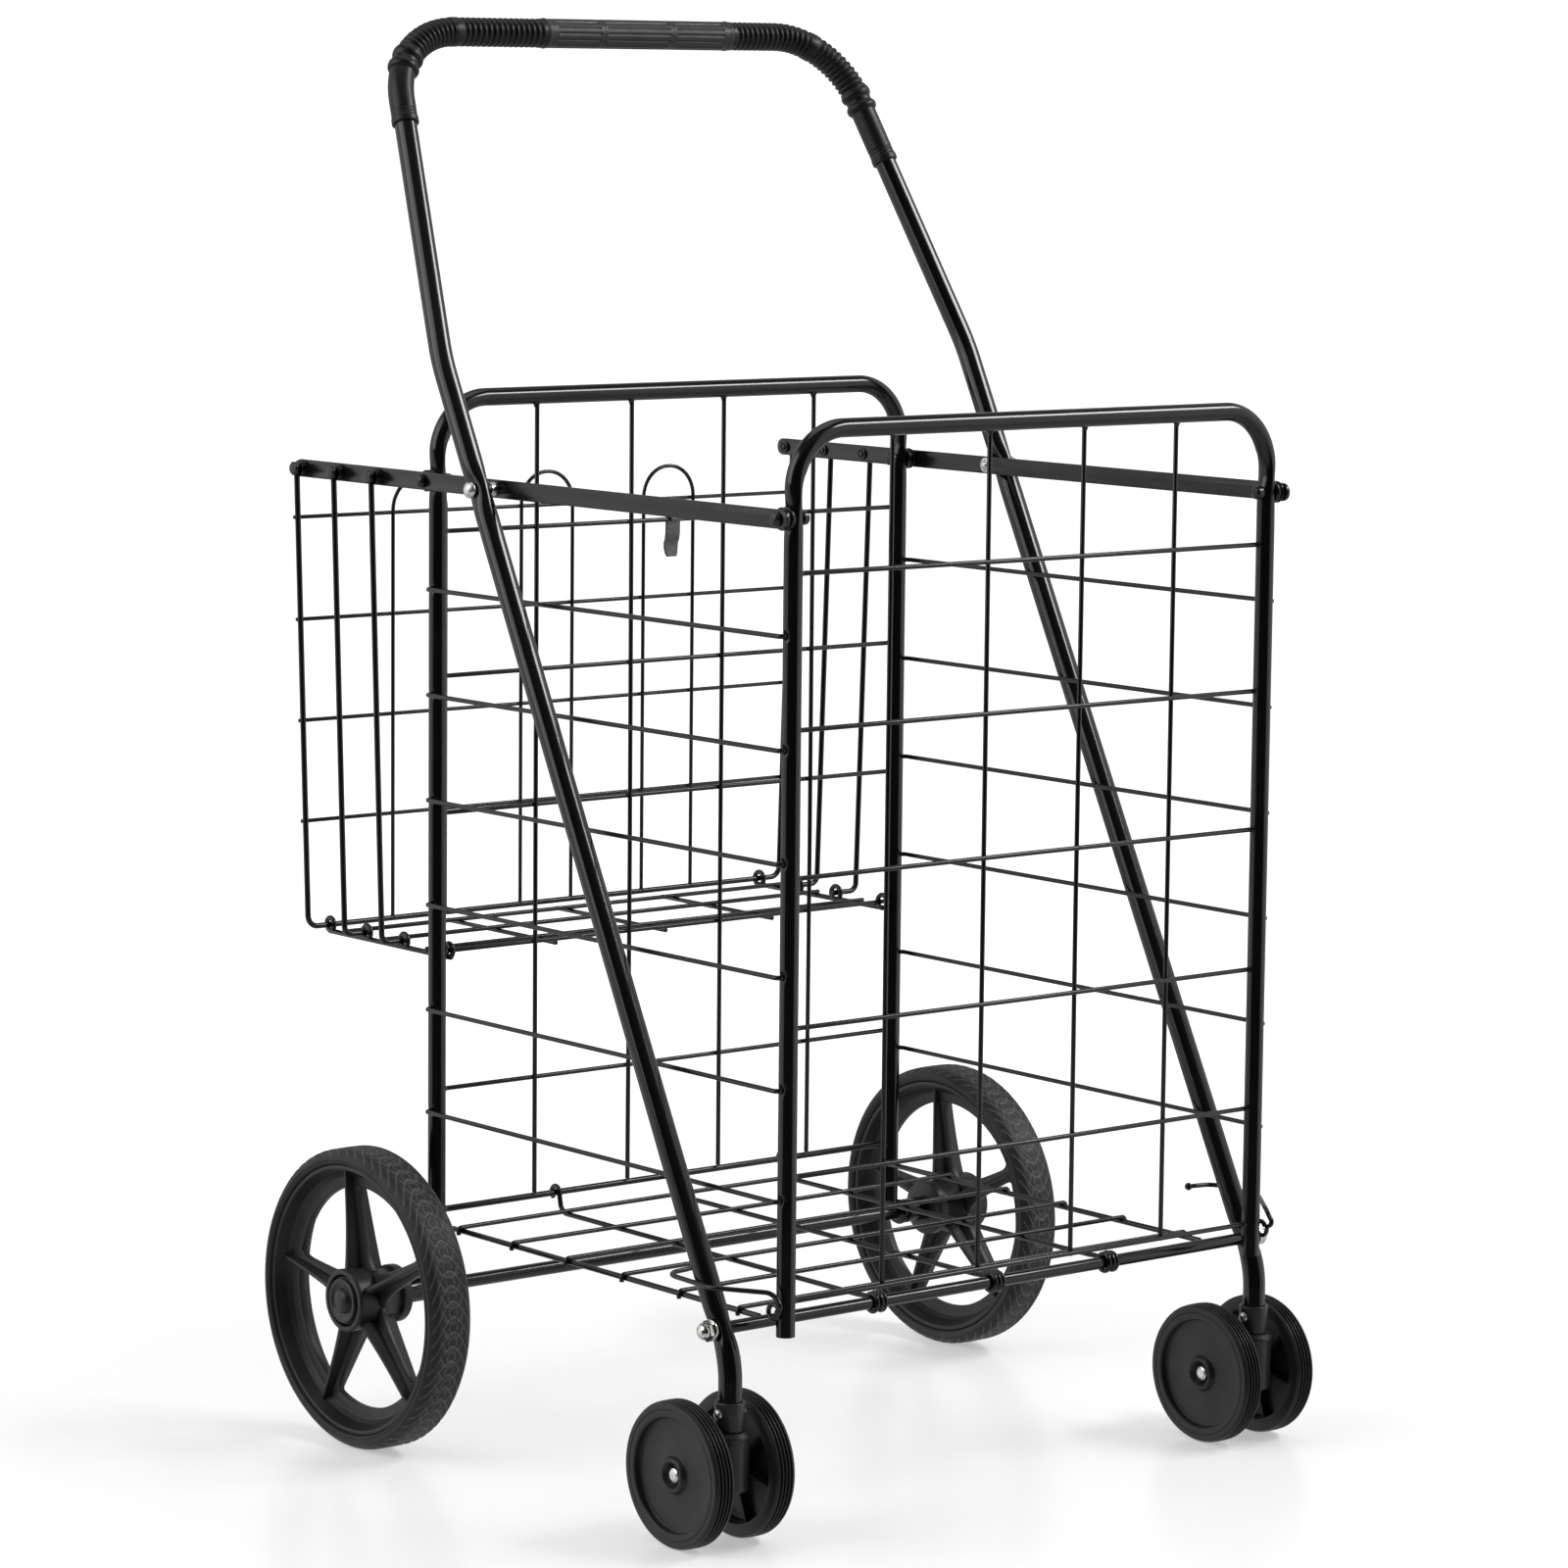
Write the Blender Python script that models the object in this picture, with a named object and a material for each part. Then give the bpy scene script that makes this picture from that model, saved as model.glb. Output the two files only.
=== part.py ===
"""Folding shopping trolley: two folding wire baskets, a leaning push handle,
twin-wheel swivel casters in front and two large wheels behind.

Millimetres in the constants, metres in the scene.  +X is the trolley's right,
-Y its front, +Z up.  The ground is z = 0.
"""

import math

import bmesh
import bpy
from mathutils import Matrix, Vector

# ----------------------------------------------------------------- constants
MM = 0.001
Y_SHIFT = 253.65         # centre of the overall depth, put at y = 0

HX = 200.0               # half spacing of the frame legs
Y_REAR = 372.0           # rear frame plane
R_TUBE = 6.0             # frame tube
R_TUBE_IN = 4.8
R_WIRE = 1.6             # panel and side wires
TOP_Z = 699.0            # top bars
RAIL_Z = 645.0           # flat rails
LEG_BOTTOM = 135.5       # front legs
REAR_BOTTOM = 106.0      # rear legs stand on the axle
PANEL_Z = (611.0, 514.4, 422.5, 329.0, 235.5)
FRONT_FOOT_Z = 157.0
PANEL_X = (-120.0, -40.0, 40.0, 120.0)
SIDE_Z = (573.0, 502.6, 432.2, 361.8, 291.0, 221.4)
SIDE_X = 209.2

RAIL_IN = 210.2
RAIL_OUT = 213.0
RAIL_H = 12.0
RAIL_FRONT = -9.5
RAIL_REAR = 521.0
HOOK_Y = (512.0, 468.0, 424.0)
HANDLE_Y = 289.8         # handle pivot on the rail

AXLE_Z = 101.0
WHEEL_R = 101.0
ROD_Z = 153.0            # floor hinge rod

HANDLE_X = 226.0
R_HANDLE = 7.5
R_HANDLE_IN = 6.2
LEAN = math.atan(0.51)
CASTER_Y = 22.0
CASTER_TRAIL = 19.5
CASTER_Z = 47.0
CROSS_Y = 31.4
CROSS_Z = 138.3

FLOOR_Z = 140.0
BASKET_Z = 329.0         # small basket floor hinge line
BASKET_X = 190.0

X = Vector((1.0, 0.0, 0.0))
Y = Vector((0.0, 1.0, 0.0))
Z = Vector((0.0, 0.0, 1.0))

for old in list(bpy.data.objects):
    bpy.data.objects.remove(old, do_unlink=True)


# ----------------------------------------------------------------- materials
def material(name, colour, metallic, roughness):
    mat = bpy.data.materials.new(name)
    mat.use_nodes = True
    shader = mat.node_tree.nodes["Principled BSDF"]
    shader.inputs["Base Color"].default_value = (*colour, 1.0)
    shader.inputs["Metallic"].default_value = metallic
    shader.inputs["Roughness"].default_value = roughness
    return mat


PAINT = ((0.022, 0.022, 0.023), 0.35, 0.30)
PAINT_FLAT = ((0.055, 0.056, 0.058), 0.25, 0.42)
NICKEL = ((0.72, 0.72, 0.71), 1.0, 0.20)
RUBBER = ((0.018, 0.018, 0.018), 0.0, 0.72)
GRIP = ((0.020, 0.020, 0.020), 0.0, 0.50)
PLASTIC = ((0.045, 0.045, 0.046), 0.0, 0.48)


# ------------------------------------------------------------- mesh builders
def merge(pieces):
    """Several disjoint closed pieces in one (vertices, faces) pair."""
    verts, faces = [], []
    for v, f in pieces:
        base = len(verts)
        verts.extend(v)
        faces.extend([[base + i for i in face] for face in f])
    return verts, faces


def fillet(corners, radii, segs=4, closed=False):
    """Polyline with its corners rounded by arcs."""
    pts = [Vector(c) for c in corners]
    count = len(pts)
    if not isinstance(radii, (list, tuple)):
        radii = [radii] * count
    out = []
    for i, p in enumerate(pts):
        if not closed and i in (0, count - 1):
            out.append(p)
            continue
        a = pts[i - 1] - p
        b = pts[(i + 1) % count] - p
        la, lb = a.length, b.length
        a.normalize()
        b.normalize()
        angle = math.pi - a.angle(b)
        r = radii[i]
        if r <= 0 or angle < 1e-4:
            out.append(p)
            continue
        reach = r * math.tan(angle / 2)
        limit = 0.49 * min(la, lb)
        if reach > limit:
            reach = limit
            r = reach / math.tan(angle / 2)
        centre = p + (a + b).normalized() * (r / math.cos(angle / 2))
        start = p + a * reach - centre
        axis = start.cross(p + b * reach - centre).normalized()
        steps = segs[i] if isinstance(segs, (list, tuple)) else segs
        for k in range(steps + 1):
            turn = Matrix.Rotation(angle * k / steps, 3, axis)
            out.append(centre + turn @ start)
    return out


def frames(pts, closed, normal):
    """Tangent and two cross directions at each point of a path."""
    count = len(pts)
    result = []
    u = None
    for i in range(count):
        if closed:
            t = (pts[(i + 1) % count] - pts[i]).normalized() + (
                pts[i] - pts[i - 1]
            ).normalized()
        elif i == 0:
            t = pts[1] - pts[0]
        elif i == count - 1:
            t = pts[-1] - pts[-2]
        else:
            t = (pts[i + 1] - pts[i]).normalized() + (pts[i] - pts[i - 1]).normalized()
        t = t.normalized()
        if normal is not None:
            u = normal - t * normal.dot(t)
        elif u is None:
            ref = X if abs(t.x) < 0.6 else Z
            u = ref - t * ref.dot(t)
        else:
            u = u - t * u.dot(t)
        u = u.normalized()
        result.append((t, u, t.cross(u)))
    return result


def ring_of(p, u, v, r, sides, phase):
    return [
        p
        + u * (r * math.cos(2 * math.pi * (k + phase) / sides))
        + v * (r * math.sin(2 * math.pi * (k + phase) / sides))
        for k in range(sides)
    ]


def sweep(path, r, sides=6, closed=False, normal=None, phase=0.5):
    """Solid round rod along a path."""
    pts = [Vector(p) for p in path]
    fr = frames(pts, closed, normal)
    radii = r if isinstance(r, (list, tuple)) else [r] * len(pts)
    verts, faces = [], []
    for p, (t, u, v), rad in zip(pts, fr, radii):
        verts.extend(ring_of(p, u, v, rad, sides, phase))
    count = len(pts)
    last = count if closed else count - 1
    for i in range(last):
        j = (i + 1) % count
        for k in range(sides):
            m = (k + 1) % sides
            faces.append([i * sides + k, i * sides + m, j * sides + m, j * sides + k])
    if not closed:
        faces.append([k for k in reversed(range(sides))])
        faces.append([(count - 1) * sides + k for k in range(sides)])
    return verts, faces


def pipe(path, r_out, r_in, sides=10, normal=None, phase=0.5):
    """Hollow tube with open ends along a path."""
    pts = [Vector(p) for p in path]
    fr = frames(pts, False, normal)
    count = len(pts)
    outer = r_out if isinstance(r_out, (list, tuple)) else [r_out] * count
    verts, faces = [], []
    for p, (t, u, v), rad in zip(pts, fr, outer):
        verts.extend(ring_of(p, u, v, rad, sides, phase))
        verts.extend(ring_of(p, u, v, r_in, sides, phase))
    step = 2 * sides
    for i in range(count - 1):
        for k in range(sides):
            m = (k + 1) % sides
            a, b = i * step, (i + 1) * step
            faces.append([a + k, a + m, b + m, b + k])
            a, b = a + sides, b + sides
            faces.append([a + k, b + k, b + m, a + m])
    for k in range(sides):
        m = (k + 1) % sides
        faces.append([k, sides + k, sides + m, m])
        e = (count - 1) * step
        faces.append([e + k, e + m, e + sides + m, e + sides + k])
    return verts, faces


def lathe(origin, axis, profile, sides, ring=False, phase=0.0):
    """Turned solid.  profile is (distance along axis, radius); a ring profile
    closes on itself, an open one starts and ends on the axis or in a cap."""
    origin = Vector(origin)
    axis = Vector(axis).normalized()
    u = (Z if abs(axis.z) < 0.9 else X).copy()
    u = (u - axis * u.dot(axis)).normalized()
    v = axis.cross(u)
    verts, rows = [], []
    for t, r in profile:
        p = origin + axis * t
        if r < 1e-6:
            rows.append([len(verts)])
            verts.append(p)
        else:
            rows.append(list(range(len(verts), len(verts) + sides)))
            verts.extend(ring_of(p, u, v, r, sides, phase))
    faces = []
    count = len(rows)
    for i in range(count if ring else count - 1):
        a, b = rows[i], rows[(i + 1) % count]
        for k in range(sides):
            m = (k + 1) % sides
            if len(a) == 1:
                faces.append([a[0], b[m], b[k]])
            elif len(b) == 1:
                faces.append([a[k], a[m], b[0]])
            else:
                faces.append([a[k], a[m], b[m], b[k]])
    if not ring:
        if len(rows[0]) > 1:
            faces.append(list(reversed(rows[0])))
        if len(rows[-1]) > 1:
            faces.append(list(rows[-1]))
    return verts, faces


def extrude(outline, x0, x1):
    """Prism of a (y, z) outline between two x values."""
    count = len(outline)
    verts = [Vector((x0, y, z)) for y, z in outline]
    verts += [Vector((x1, y, z)) for y, z in outline]
    faces = [list(range(count)), list(reversed(range(count, 2 * count)))]
    for k in range(count):
        m = (k + 1) % count
        faces.append([k, count + k, count + m, m])
    return verts, faces


def box(centre, size):
    cx, cy, cz = centre
    sx, sy, sz = (s / 2 for s in size)
    return extrude(
        [(cy - sy, cz - sz), (cy + sy, cz - sz), (cy + sy, cz + sz), (cy - sy, cz + sz)],
        cx - sx,
        cx + sx,
    )


def to_mesh(piece, name="piece"):
    verts, faces = piece
    mesh = bpy.data.meshes.new(name)
    mesh.from_pydata([tuple(v) for v in verts], [], faces)
    mesh.update()
    bm = bmesh.new()
    bm.from_mesh(mesh)
    bmesh.ops.recalc_face_normals(bm, faces=bm.faces)
    bm.to_mesh(mesh)
    bm.free()
    return mesh


def combine(mesh_a, mesh_b, operation):
    """Boolean of two closed meshes, returned as a new mesh."""
    a = bpy.data.objects.new("work_a", mesh_a)
    b = bpy.data.objects.new("work_b", mesh_b)
    for ob in (a, b):
        bpy.context.scene.collection.objects.link(ob)
    b.hide_render = True
    b.display_type = "WIRE"
    mod = a.modifiers.new("join", "BOOLEAN")
    mod.operation = operation
    mod.solver = "EXACT"
    mod.object = b
    bpy.context.view_layer.update()
    graph = bpy.context.evaluated_depsgraph_get()
    result = bpy.data.meshes.new_from_object(a.evaluated_get(graph))
    for ob in (a, b):
        bpy.data.objects.remove(ob, do_unlink=True)
    return result


def build(name, groups, look, origin=(0.0, 0.0, 0.0), cuts=()):
    """One named object: the union of the groups, less the cuts."""
    mesh = to_mesh(merge(groups[0]), name)
    for group in groups[1:]:
        mesh = combine(mesh, to_mesh(merge(group)), "UNION")
    for cut in cuts:
        mesh = combine(mesh, to_mesh(merge(cut)), "DIFFERENCE")
    bm = bmesh.new()
    bm.from_mesh(mesh)
    bmesh.ops.remove_doubles(bm, verts=bm.verts, dist=0.004)
    bmesh.ops.dissolve_degenerate(bm, dist=0.004, edges=bm.edges)
    origin = Vector(origin)
    for vert in bm.verts:
        vert.co = (vert.co - origin) * MM
    bmesh.ops.triangulate(bm, faces=bm.faces)
    bmesh.ops.recalc_face_normals(bm, faces=bm.faces)
    bm.to_mesh(mesh)
    bm.free()
    mesh.name = name
    mesh.materials.clear()
    mesh.materials.append(material(name + "_finish", *look))
    mesh.shade_smooth()
    mesh.set_sharp_from_angle(angle=math.radians(42))
    ob = bpy.data.objects.new(name, mesh)
    ob.location = (origin - Vector((0.0, Y_SHIFT, 0.0))) * MM
    bpy.context.scene.collection.objects.link(ob)
    return ob


def cyl_x(x0, x1, y, z, r, sides=8, phase=0.0):
    return lathe((0, y, z), X, [(x0, r), (x1, r)], sides, phase=phase)


def span(a, b):
    return (min(a, b), max(a, b))


SIDES = (("left", -1.0), ("right", 1.0))


# --------------------------------------------------------- frames and panels
def side_holes():
    """Holes for the side wires and the rail bolts, both legs of a frame."""
    return [(s, z) for s in (-1.0, 1.0) for z in SIDE_Z]


def frame_tube(name, y, bottom, origin):
    path = fillet(
        [(-HX, y, bottom), (-HX, y, TOP_Z), (HX, y, TOP_Z), (HX, y, bottom)], 38.0, 5
    )
    cuts = [cyl_x(*span(s * 202.6, s * 208.5), y, z, 2.25, 6) for s, z in side_holes()]
    cuts += [cyl_x(*span(s * 190.0, s * 209.0), y, RAIL_Z, 2.9) for s in (-1.0, 1.0)]
    build(name, [[pipe(path, R_TUBE, R_TUBE_IN, 10, normal=Y)]], PAINT, origin, [cuts])


def wire_panel(name, y, inner, levels, low, origin):
    rise = [
        sweep([(x, y + inner * 2.0, low - 2.0), (x, y + inner * 2.0, TOP_Z - 6.5)],
              R_WIRE, 5)
        for x in PANEL_X
    ]
    cross = [sweep([(-193.5, y, z), (193.5, y, z)], R_WIRE, 5) for z in levels]
    build(name, [rise, cross], PAINT, origin)


REAR = (0.0, Y_REAR, RAIL_Z)
FRONT = (0.0, 0.0, RAIL_Z)
frame_tube("rear_frame_tube", Y_REAR, REAR_BOTTOM, REAR)
frame_tube("front_frame_tube", 0.0, LEG_BOTTOM, FRONT)
wire_panel("rear_wire_panel", Y_REAR, -1.0, PANEL_Z, ROD_Z + 4.9, REAR)
wire_panel("front_wire_panel", 0.0, 1.0, PANEL_Z + (FRONT_FOOT_Z,), FRONT_FOOT_Z, FRONT)

build(
    "floor_hinge_rod",
    [[sweep([(-193.5, Y_REAR, ROD_Z), (193.5, Y_REAR, ROD_Z)], 2.2, 8)]],
    PAINT,
    (0.0, Y_REAR, ROD_Z),
)

# flat spring clip hung over the top wire of the rear panel
outer, inner_line = [], []
for k in range(8):
    turn = math.radians(205.0 - k * (205.0 / 7))
    outer.append((Y_REAR + 3.9 * math.cos(turn), PANEL_Z[0] + 3.9 * math.sin(turn)))
    inner_line.append((Y_REAR + 2.4 * math.cos(turn), PANEL_Z[0] + 2.4 * math.sin(turn)))
tail = [(3.9, -12.0), (6.2, -18.0), (5.0, -27.0)]
tail_in = [(2.4, -12.0), (4.6, -18.0), (3.5, -27.0)]
outer += [(Y_REAR + a, PANEL_Z[0] + b) for a, b in tail]
inner_line += [(Y_REAR + a, PANEL_Z[0] + b) for a, b in tail_in]
build(
    "rear_clip",
    [[extrude(outer + list(reversed(inner_line)), -6.0, 6.0)]],
    PAINT_FLAT,
    (0.0, Y_REAR, PANEL_Z[0]),
)

# ---------------------------------------------------------- axle and wheels
AXLE = (0.0, Y_REAR, AXLE_Z)
axle = [
    (-272.0, 4.6), (-230.6, 4.6), (-230.6, 8.5), (-207.0, 8.5), (-207.0, 4.6),
    (207.0, 4.6), (207.0, 8.5), (230.6, 8.5), (230.6, 4.6), (272.0, 4.6),
]
build("rear_axle", [[lathe(AXLE, X, axle, 12)]], PAINT, AXLE)

for side, s in SIDES:
    out = X * s
    at = (0.0, Y_REAR, AXLE_Z)
    where = (s * 263.0, Y_REAR, AXLE_Z)
    tyre = [
        (243.0, 91.4), (241.6, 94.0), (244.2, 99.0), (252.4, 101.0), (263.6, 101.0),
        (271.8, 99.0), (274.4, 94.0), (273.0, 91.4),
    ]
    build(f"rear_tyre_{side}", [[lathe(at, out, tyre, 32, ring=True)]], RUBBER, where)
    rim = [
        (244.2, 91.0), (271.8, 91.0), (272.4, 87.6), (265.6, 84.4), (260.8, 80.6),
        (260.4, 74.6), (255.6, 74.6), (255.2, 80.6), (250.4, 84.4), (243.6, 87.6),
    ]
    hub = [
        (231.0, 5.1), (231.0, 13.0), (232.6, 19.4), (239.6, 19.4), (241.4, 17.4),
        (252.0, 20.2), (274.0, 21.0), (274.0, 5.1),
    ]
    spokes = []
    for k in range(5):
        turn = math.radians(81.6 + 72.0 * k)
        radial = Vector((0.0, math.cos(turn), math.sin(turn)))
        across = Vector((0.0, -math.sin(turn), math.cos(turn)))
        base = Vector(at)
        # a plate in the middle of the wheel with a rib on both of its sides
        verts = []
        for reach, half, rib, outer, inner in (
            (16.0, 9.6, 1.9, 272.4, 243.6), (86.0, 4.6, 1.5, 266.4, 252.4),
        ):
            section = [
                (-half, 255.8), (-rib, 255.8), (-rib, inner), (rib, inner), (rib, 255.8),
                (half, 255.8), (half, 260.2), (rib, 260.2), (rib, outer), (-rib, outer),
                (-rib, 260.2), (-half, 260.2),
            ]
            verts += [base + out * d + radial * reach + across * e for e, d in section]
        n = len(verts) // 2
        faces = [list(range(n)), list(range(2 * n - 1, n - 1, -1))] + [
            [k2, n + k2, n + (k2 + 1) % n, (k2 + 1) % n] for k2 in range(n)
        ]
        spokes.append((verts, faces))
    build(
        f"rear_rim_{side}",
        [[lathe(at, out, rim, 32, ring=True), lathe(at, out, hub, 15, ring=True)], spokes],
        PLASTIC,
        where,
    )
    cap = [(274.4, 20.6), (277.6, 20.6), (279.2, 18.6), (279.2, 13.8), (277.8, 11.4),
           (280.2, 9.0), (280.8, 0.0)]
    build(f"rear_hub_cap_{side}", [[lathe(at, out, cap, 16)]], PLASTIC, where)

# ---------------------------------------------------------------- side rails
for side, s in SIDES:
    half = RAIL_H / 2
    outline = []
    for cy, lo, hi in ((RAIL_REAR - half, -90, 90), (RAIL_FRONT + half, 90, 270)):
        for k in range(5):
            a = math.radians(lo + (hi - lo) * k / 4)
            outline.append((cy + half * math.cos(a), RAIL_Z + half * math.sin(a)))
    x0, x1 = span(s * RAIL_IN, s * RAIL_OUT)
    drills = [cyl_x(x0 - 2, x1 + 2, y, RAIL_Z, 2.9) for y in (0.0, HANDLE_Y, Y_REAR)]
    drills += [cyl_x(x0 - 2, x1 + 2, y, RAIL_Z, 2.6) for y in HOOK_Y]
    build(f"side_rail_{side}", [[extrude(outline, x0, x1)]], PAINT_FLAT, REAR, [drills])

    # head inside the leg, spool spacer between leg and rail, dome outside
    bolt = [(188.8, 2.8), (190.4, 4.5), (193.4, 4.5), (193.4, 2.5),
            (206.4, 2.5), (206.4, 6.3), (207.5, 6.3), (207.5, 5.0), (208.8, 5.0),
            (208.8, 6.3), (209.9, 6.3), (209.9, 2.5),
            (213.4, 2.5), (213.4, 5.2), (215.1, 4.8), (216.9, 2.0)]
    for where, y in (("rear", Y_REAR), ("front", 0.0)):
        build(
            f"{where}_pivot_bolt_{side}",
            [[lathe((0, y, RAIL_Z), X * s, bolt, 8)]],
            NICKEL,
            (0.0, y, RAIL_Z),
        )
    screw = [(205.9, 2.6), (207.7, 5.0), (209.8, 5.2), (209.8, 2.5),
             (213.4, 2.5), (213.4, 5.0), (218.1, 5.0), (218.1, 2.5), (234.0, 2.5),
             (234.0, 5.6), (236.0, 5.1), (238.0, 2.0)]
    build(
        f"handle_pivot_bolt_{side}",
        [[lathe((0, HANDLE_Y, RAIL_Z), X * s, screw, 8)]],
        NICKEL,
        (0.0, HANDLE_Y, RAIL_Z),
    )

# --------------------------------------------------------------- side wires
for number, z in enumerate(SIDE_Z, 1):
    for side, s in SIDES:
        path = fillet(
            [(s * 203.4, Y_REAR, z), (s * SIDE_X, Y_REAR, z), (s * SIDE_X, 0.0, z),
             (s * 203.4, 0.0, z)],
            3.2,
            2,
        )
        build(
            f"side_wire_{number}_{side}",
            [[sweep(path, R_WIRE, 6, normal=Z)]],
            PAINT,
            (0.0, Y_REAR, z),
        )

# -------------------------------------------------------------- small basket
wall_y = HOOK_Y[0]
hanger = fillet(
    [(-208.0, wall_y, RAIL_Z), (-217.6, wall_y, RAIL_Z), (-208.6, wall_y, BASKET_Z),
     (208.6, wall_y, BASKET_Z), (217.6, wall_y, RAIL_Z), (208.0, wall_y, RAIL_Z)],
    [0, 3.4, 7.0, 7.0, 3.4, 0],
    2,
)
loops = []
for centre in (-115.4, -5.4, 103.0):
    loops.append(
        sweep(
            fillet(
                [(centre - 22.4, wall_y, BASKET_Z), (centre - 22.4, wall_y, 635.0),
                 (centre + 22.4, wall_y, 635.0), (centre + 22.4, wall_y, BASKET_Z)],
                21.0,
                4,
            ),
            1.35,
            5,
            normal=Y,
        )
    )
bars = []
for z in (611.6, 541.6, 472.0, 402.4):
    reach = 208.6 + 9.0 * (z - BASKET_Z) / (RAIL_Z - BASKET_Z) + 2.4
    bars.append(sweep([(-reach, wall_y + 1.9, z), (reach, wall_y + 1.9, z)], 1.4, 5))
build(
    "small_basket_wall",
    [[sweep(hanger, 2.0, 6, normal=Y)], loops, bars],
    PAINT,
    (0.0, wall_y, RAIL_Z),
)
for number, y in ((1, HOOK_Y[1]), (2, HOOK_Y[2])):
    for side, s in SIDES:
        path = fillet(
            [(s * 208.0, y, RAIL_Z), (s * 217.6, y, RAIL_Z), (s * 208.6, y, BASKET_Z),
             (s * 186.0, y, BASKET_Z)],
            [0, 3.4, 5.0, 0],
            2,
        )
        build(
            f"small_basket_link_{number}_{side}",
            [[sweep(path, 2.0, 6, normal=Y)]],
            PAINT,
            (0.0, y, RAIL_Z),
        )

low = BASKET_Z - 4.5
rings = []
for s in (-1.0, 1.0):
    for y in HOOK_Y + (Y_REAR,):
        circle = [
            (s * BASKET_X, y + 4.7 * math.cos(2 * math.pi * (k + 0.5) / 9),
             BASKET_Z + 4.7 * math.sin(2 * math.pi * (k + 0.5) / 9))
            for k in range(9)
        ]
        rings.append(sweep(circle, 1.8, 5, closed=True, normal=X))
runs = [
    sweep([(s * BASKET_X, Y_REAR - 1.0, low), (s * BASKET_X, HOOK_Y[0] + 1.0, low)],
          1.9, 6)
    for s in (-1.0, 1.0)
]
runs += [
    sweep([(x, Y_REAR + 7.0, low), (x, HOOK_Y[0] - 6.0, low)], R_WIRE, 6)
    for x in (-95.0, 0.0, 95.0)
]
across = [
    sweep([(-192.2, y, low + 2.2), (192.2, y, low + 2.2)], R_WIRE, 6)
    for y in (Y_REAR + 24.0, Y_REAR + 74.0, Y_REAR + 118.0)
]
build("small_basket_floor", [runs, across, rings], PAINT, (0.0, Y_REAR, BASKET_Z))

# --------------------------------------------------------------- main floor
longs = []
for x in (-100.0, 0.0, 100.0):
    path = []
    for k in range(6):
        a = math.radians(205.0 - k * (189.0 / 5))
        path.append((x, CROSS_Y + 6.2 * math.cos(a), CROSS_Z + 6.2 * math.sin(a)))
    path.append((x, CROSS_Y + 16.0, FLOOR_Z))
    path.append((x, Y_REAR - 10.5, FLOOR_Z))
    path.append((x, Y_REAR - 6.2, FLOOR_Z + 3.2))
    for k in range(6):
        a = math.radians(190.0 - k * (240.0 / 5))
        path.append((x, Y_REAR + 4.5 * math.cos(a), ROD_Z + 4.5 * math.sin(a)))
    longs.append(sweep(path, R_WIRE, 5, normal=X))
edges = [
    sweep([(s * BASKET_X, CROSS_Y + 6.0, FLOOR_Z), (s * BASKET_X, Y_REAR - 5.0, FLOOR_Z)],
          1.9, 6)
    for s in (-1.0, 1.0)
]
slats = []
for y in (56.0, 116.0, 176.0, 236.0, 296.0, 356.0):
    slats.append(
        sweep([(-192.0, y, FLOOR_Z + 2.0), (192.0, y, FLOOR_Z + 2.0)], R_WIRE, 5)
    )
build("floor_panel", [longs + edges, slats], PAINT, (0.0, Y_REAR, ROD_Z))

# ------------------------------------------------------------------- handle
slope = Vector((0.0, math.sin(LEAN), math.cos(LEAN)))
pivot = Vector((0.0, HANDLE_Y, RAIL_Z))


def on_handle(x, w):
    return Vector((x, 0.0, 0.0)) + pivot + slope * w


bend_z = RAIL_Z - (HANDLE_Y - CASTER_Y) / math.tan(LEAN)
HANDLE_PATH = fillet(
    [(-HANDLE_X, CASTER_Y, 85.0), (-HANDLE_X, CASTER_Y, bend_z), on_handle(-226.0, 92.0),
     on_handle(-190.0, 331.0), on_handle(190.0, 331.0), on_handle(226.0, 92.0),
     (HANDLE_X, CASTER_Y, bend_z), (HANDLE_X, CASTER_Y, 85.0)],
    [0, 58.0, 160.0, 60.0, 60.0, 160.0, 58.0, 0],
    [0, 3, 1, 5, 5, 1, 3, 0],
)
B = (0.0, HANDLE_Y, RAIL_Z)
drills = []
for s in (-1.0, 1.0):
    drills.append(cyl_x(*span(s * 215.0, s * 236.0), HANDLE_Y, RAIL_Z, 2.9))
    drills.append(cyl_x(*span(s * 215.0, s * 236.0), CROSS_Y, CROSS_Z, 4.5, 8))
build("handle_tube", [[pipe(HANDLE_PATH, R_HANDLE, R_HANDLE_IN, 10)]], PAINT, B, [drills])

# sleeves run along the same centre line; s is measured from the middle of
# the bar, positive to the right
fine = fillet(
    [on_handle(-226.0, 92.0), on_handle(-190.0, 331.0), on_handle(190.0, 331.0),
     on_handle(226.0, 92.0)],
    [0, 60.0, 60.0, 0],
    5,
)
lengths = [0.0]
for a, b in zip(fine, fine[1:]):
    lengths.append(lengths[-1] + (b - a).length)
MIDDLE = lengths[-1] / 2


def along(s):
    s += MIDDLE
    for i in range(len(fine) - 1):
        if s <= lengths[i + 1] or i == len(fine) - 2:
            f = (s - lengths[i]) / (lengths[i + 1] - lengths[i])
            return fine[i].lerp(fine[i + 1], f)


def sub_path(s0, s1, extra):
    """Points of the centre line between s0 and s1, with the given extras."""
    marks = {s0, s1}
    marks.update(e for e in extra if s0 < e < s1)
    marks.update(
        v - MIDDLE for v in lengths if s0 + 1.5 < v - MIDDLE < s1 - 1.5
        and all(abs(v - MIDDLE - e) > 1.5 for e in extra)
    )
    return sorted(marks)


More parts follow.
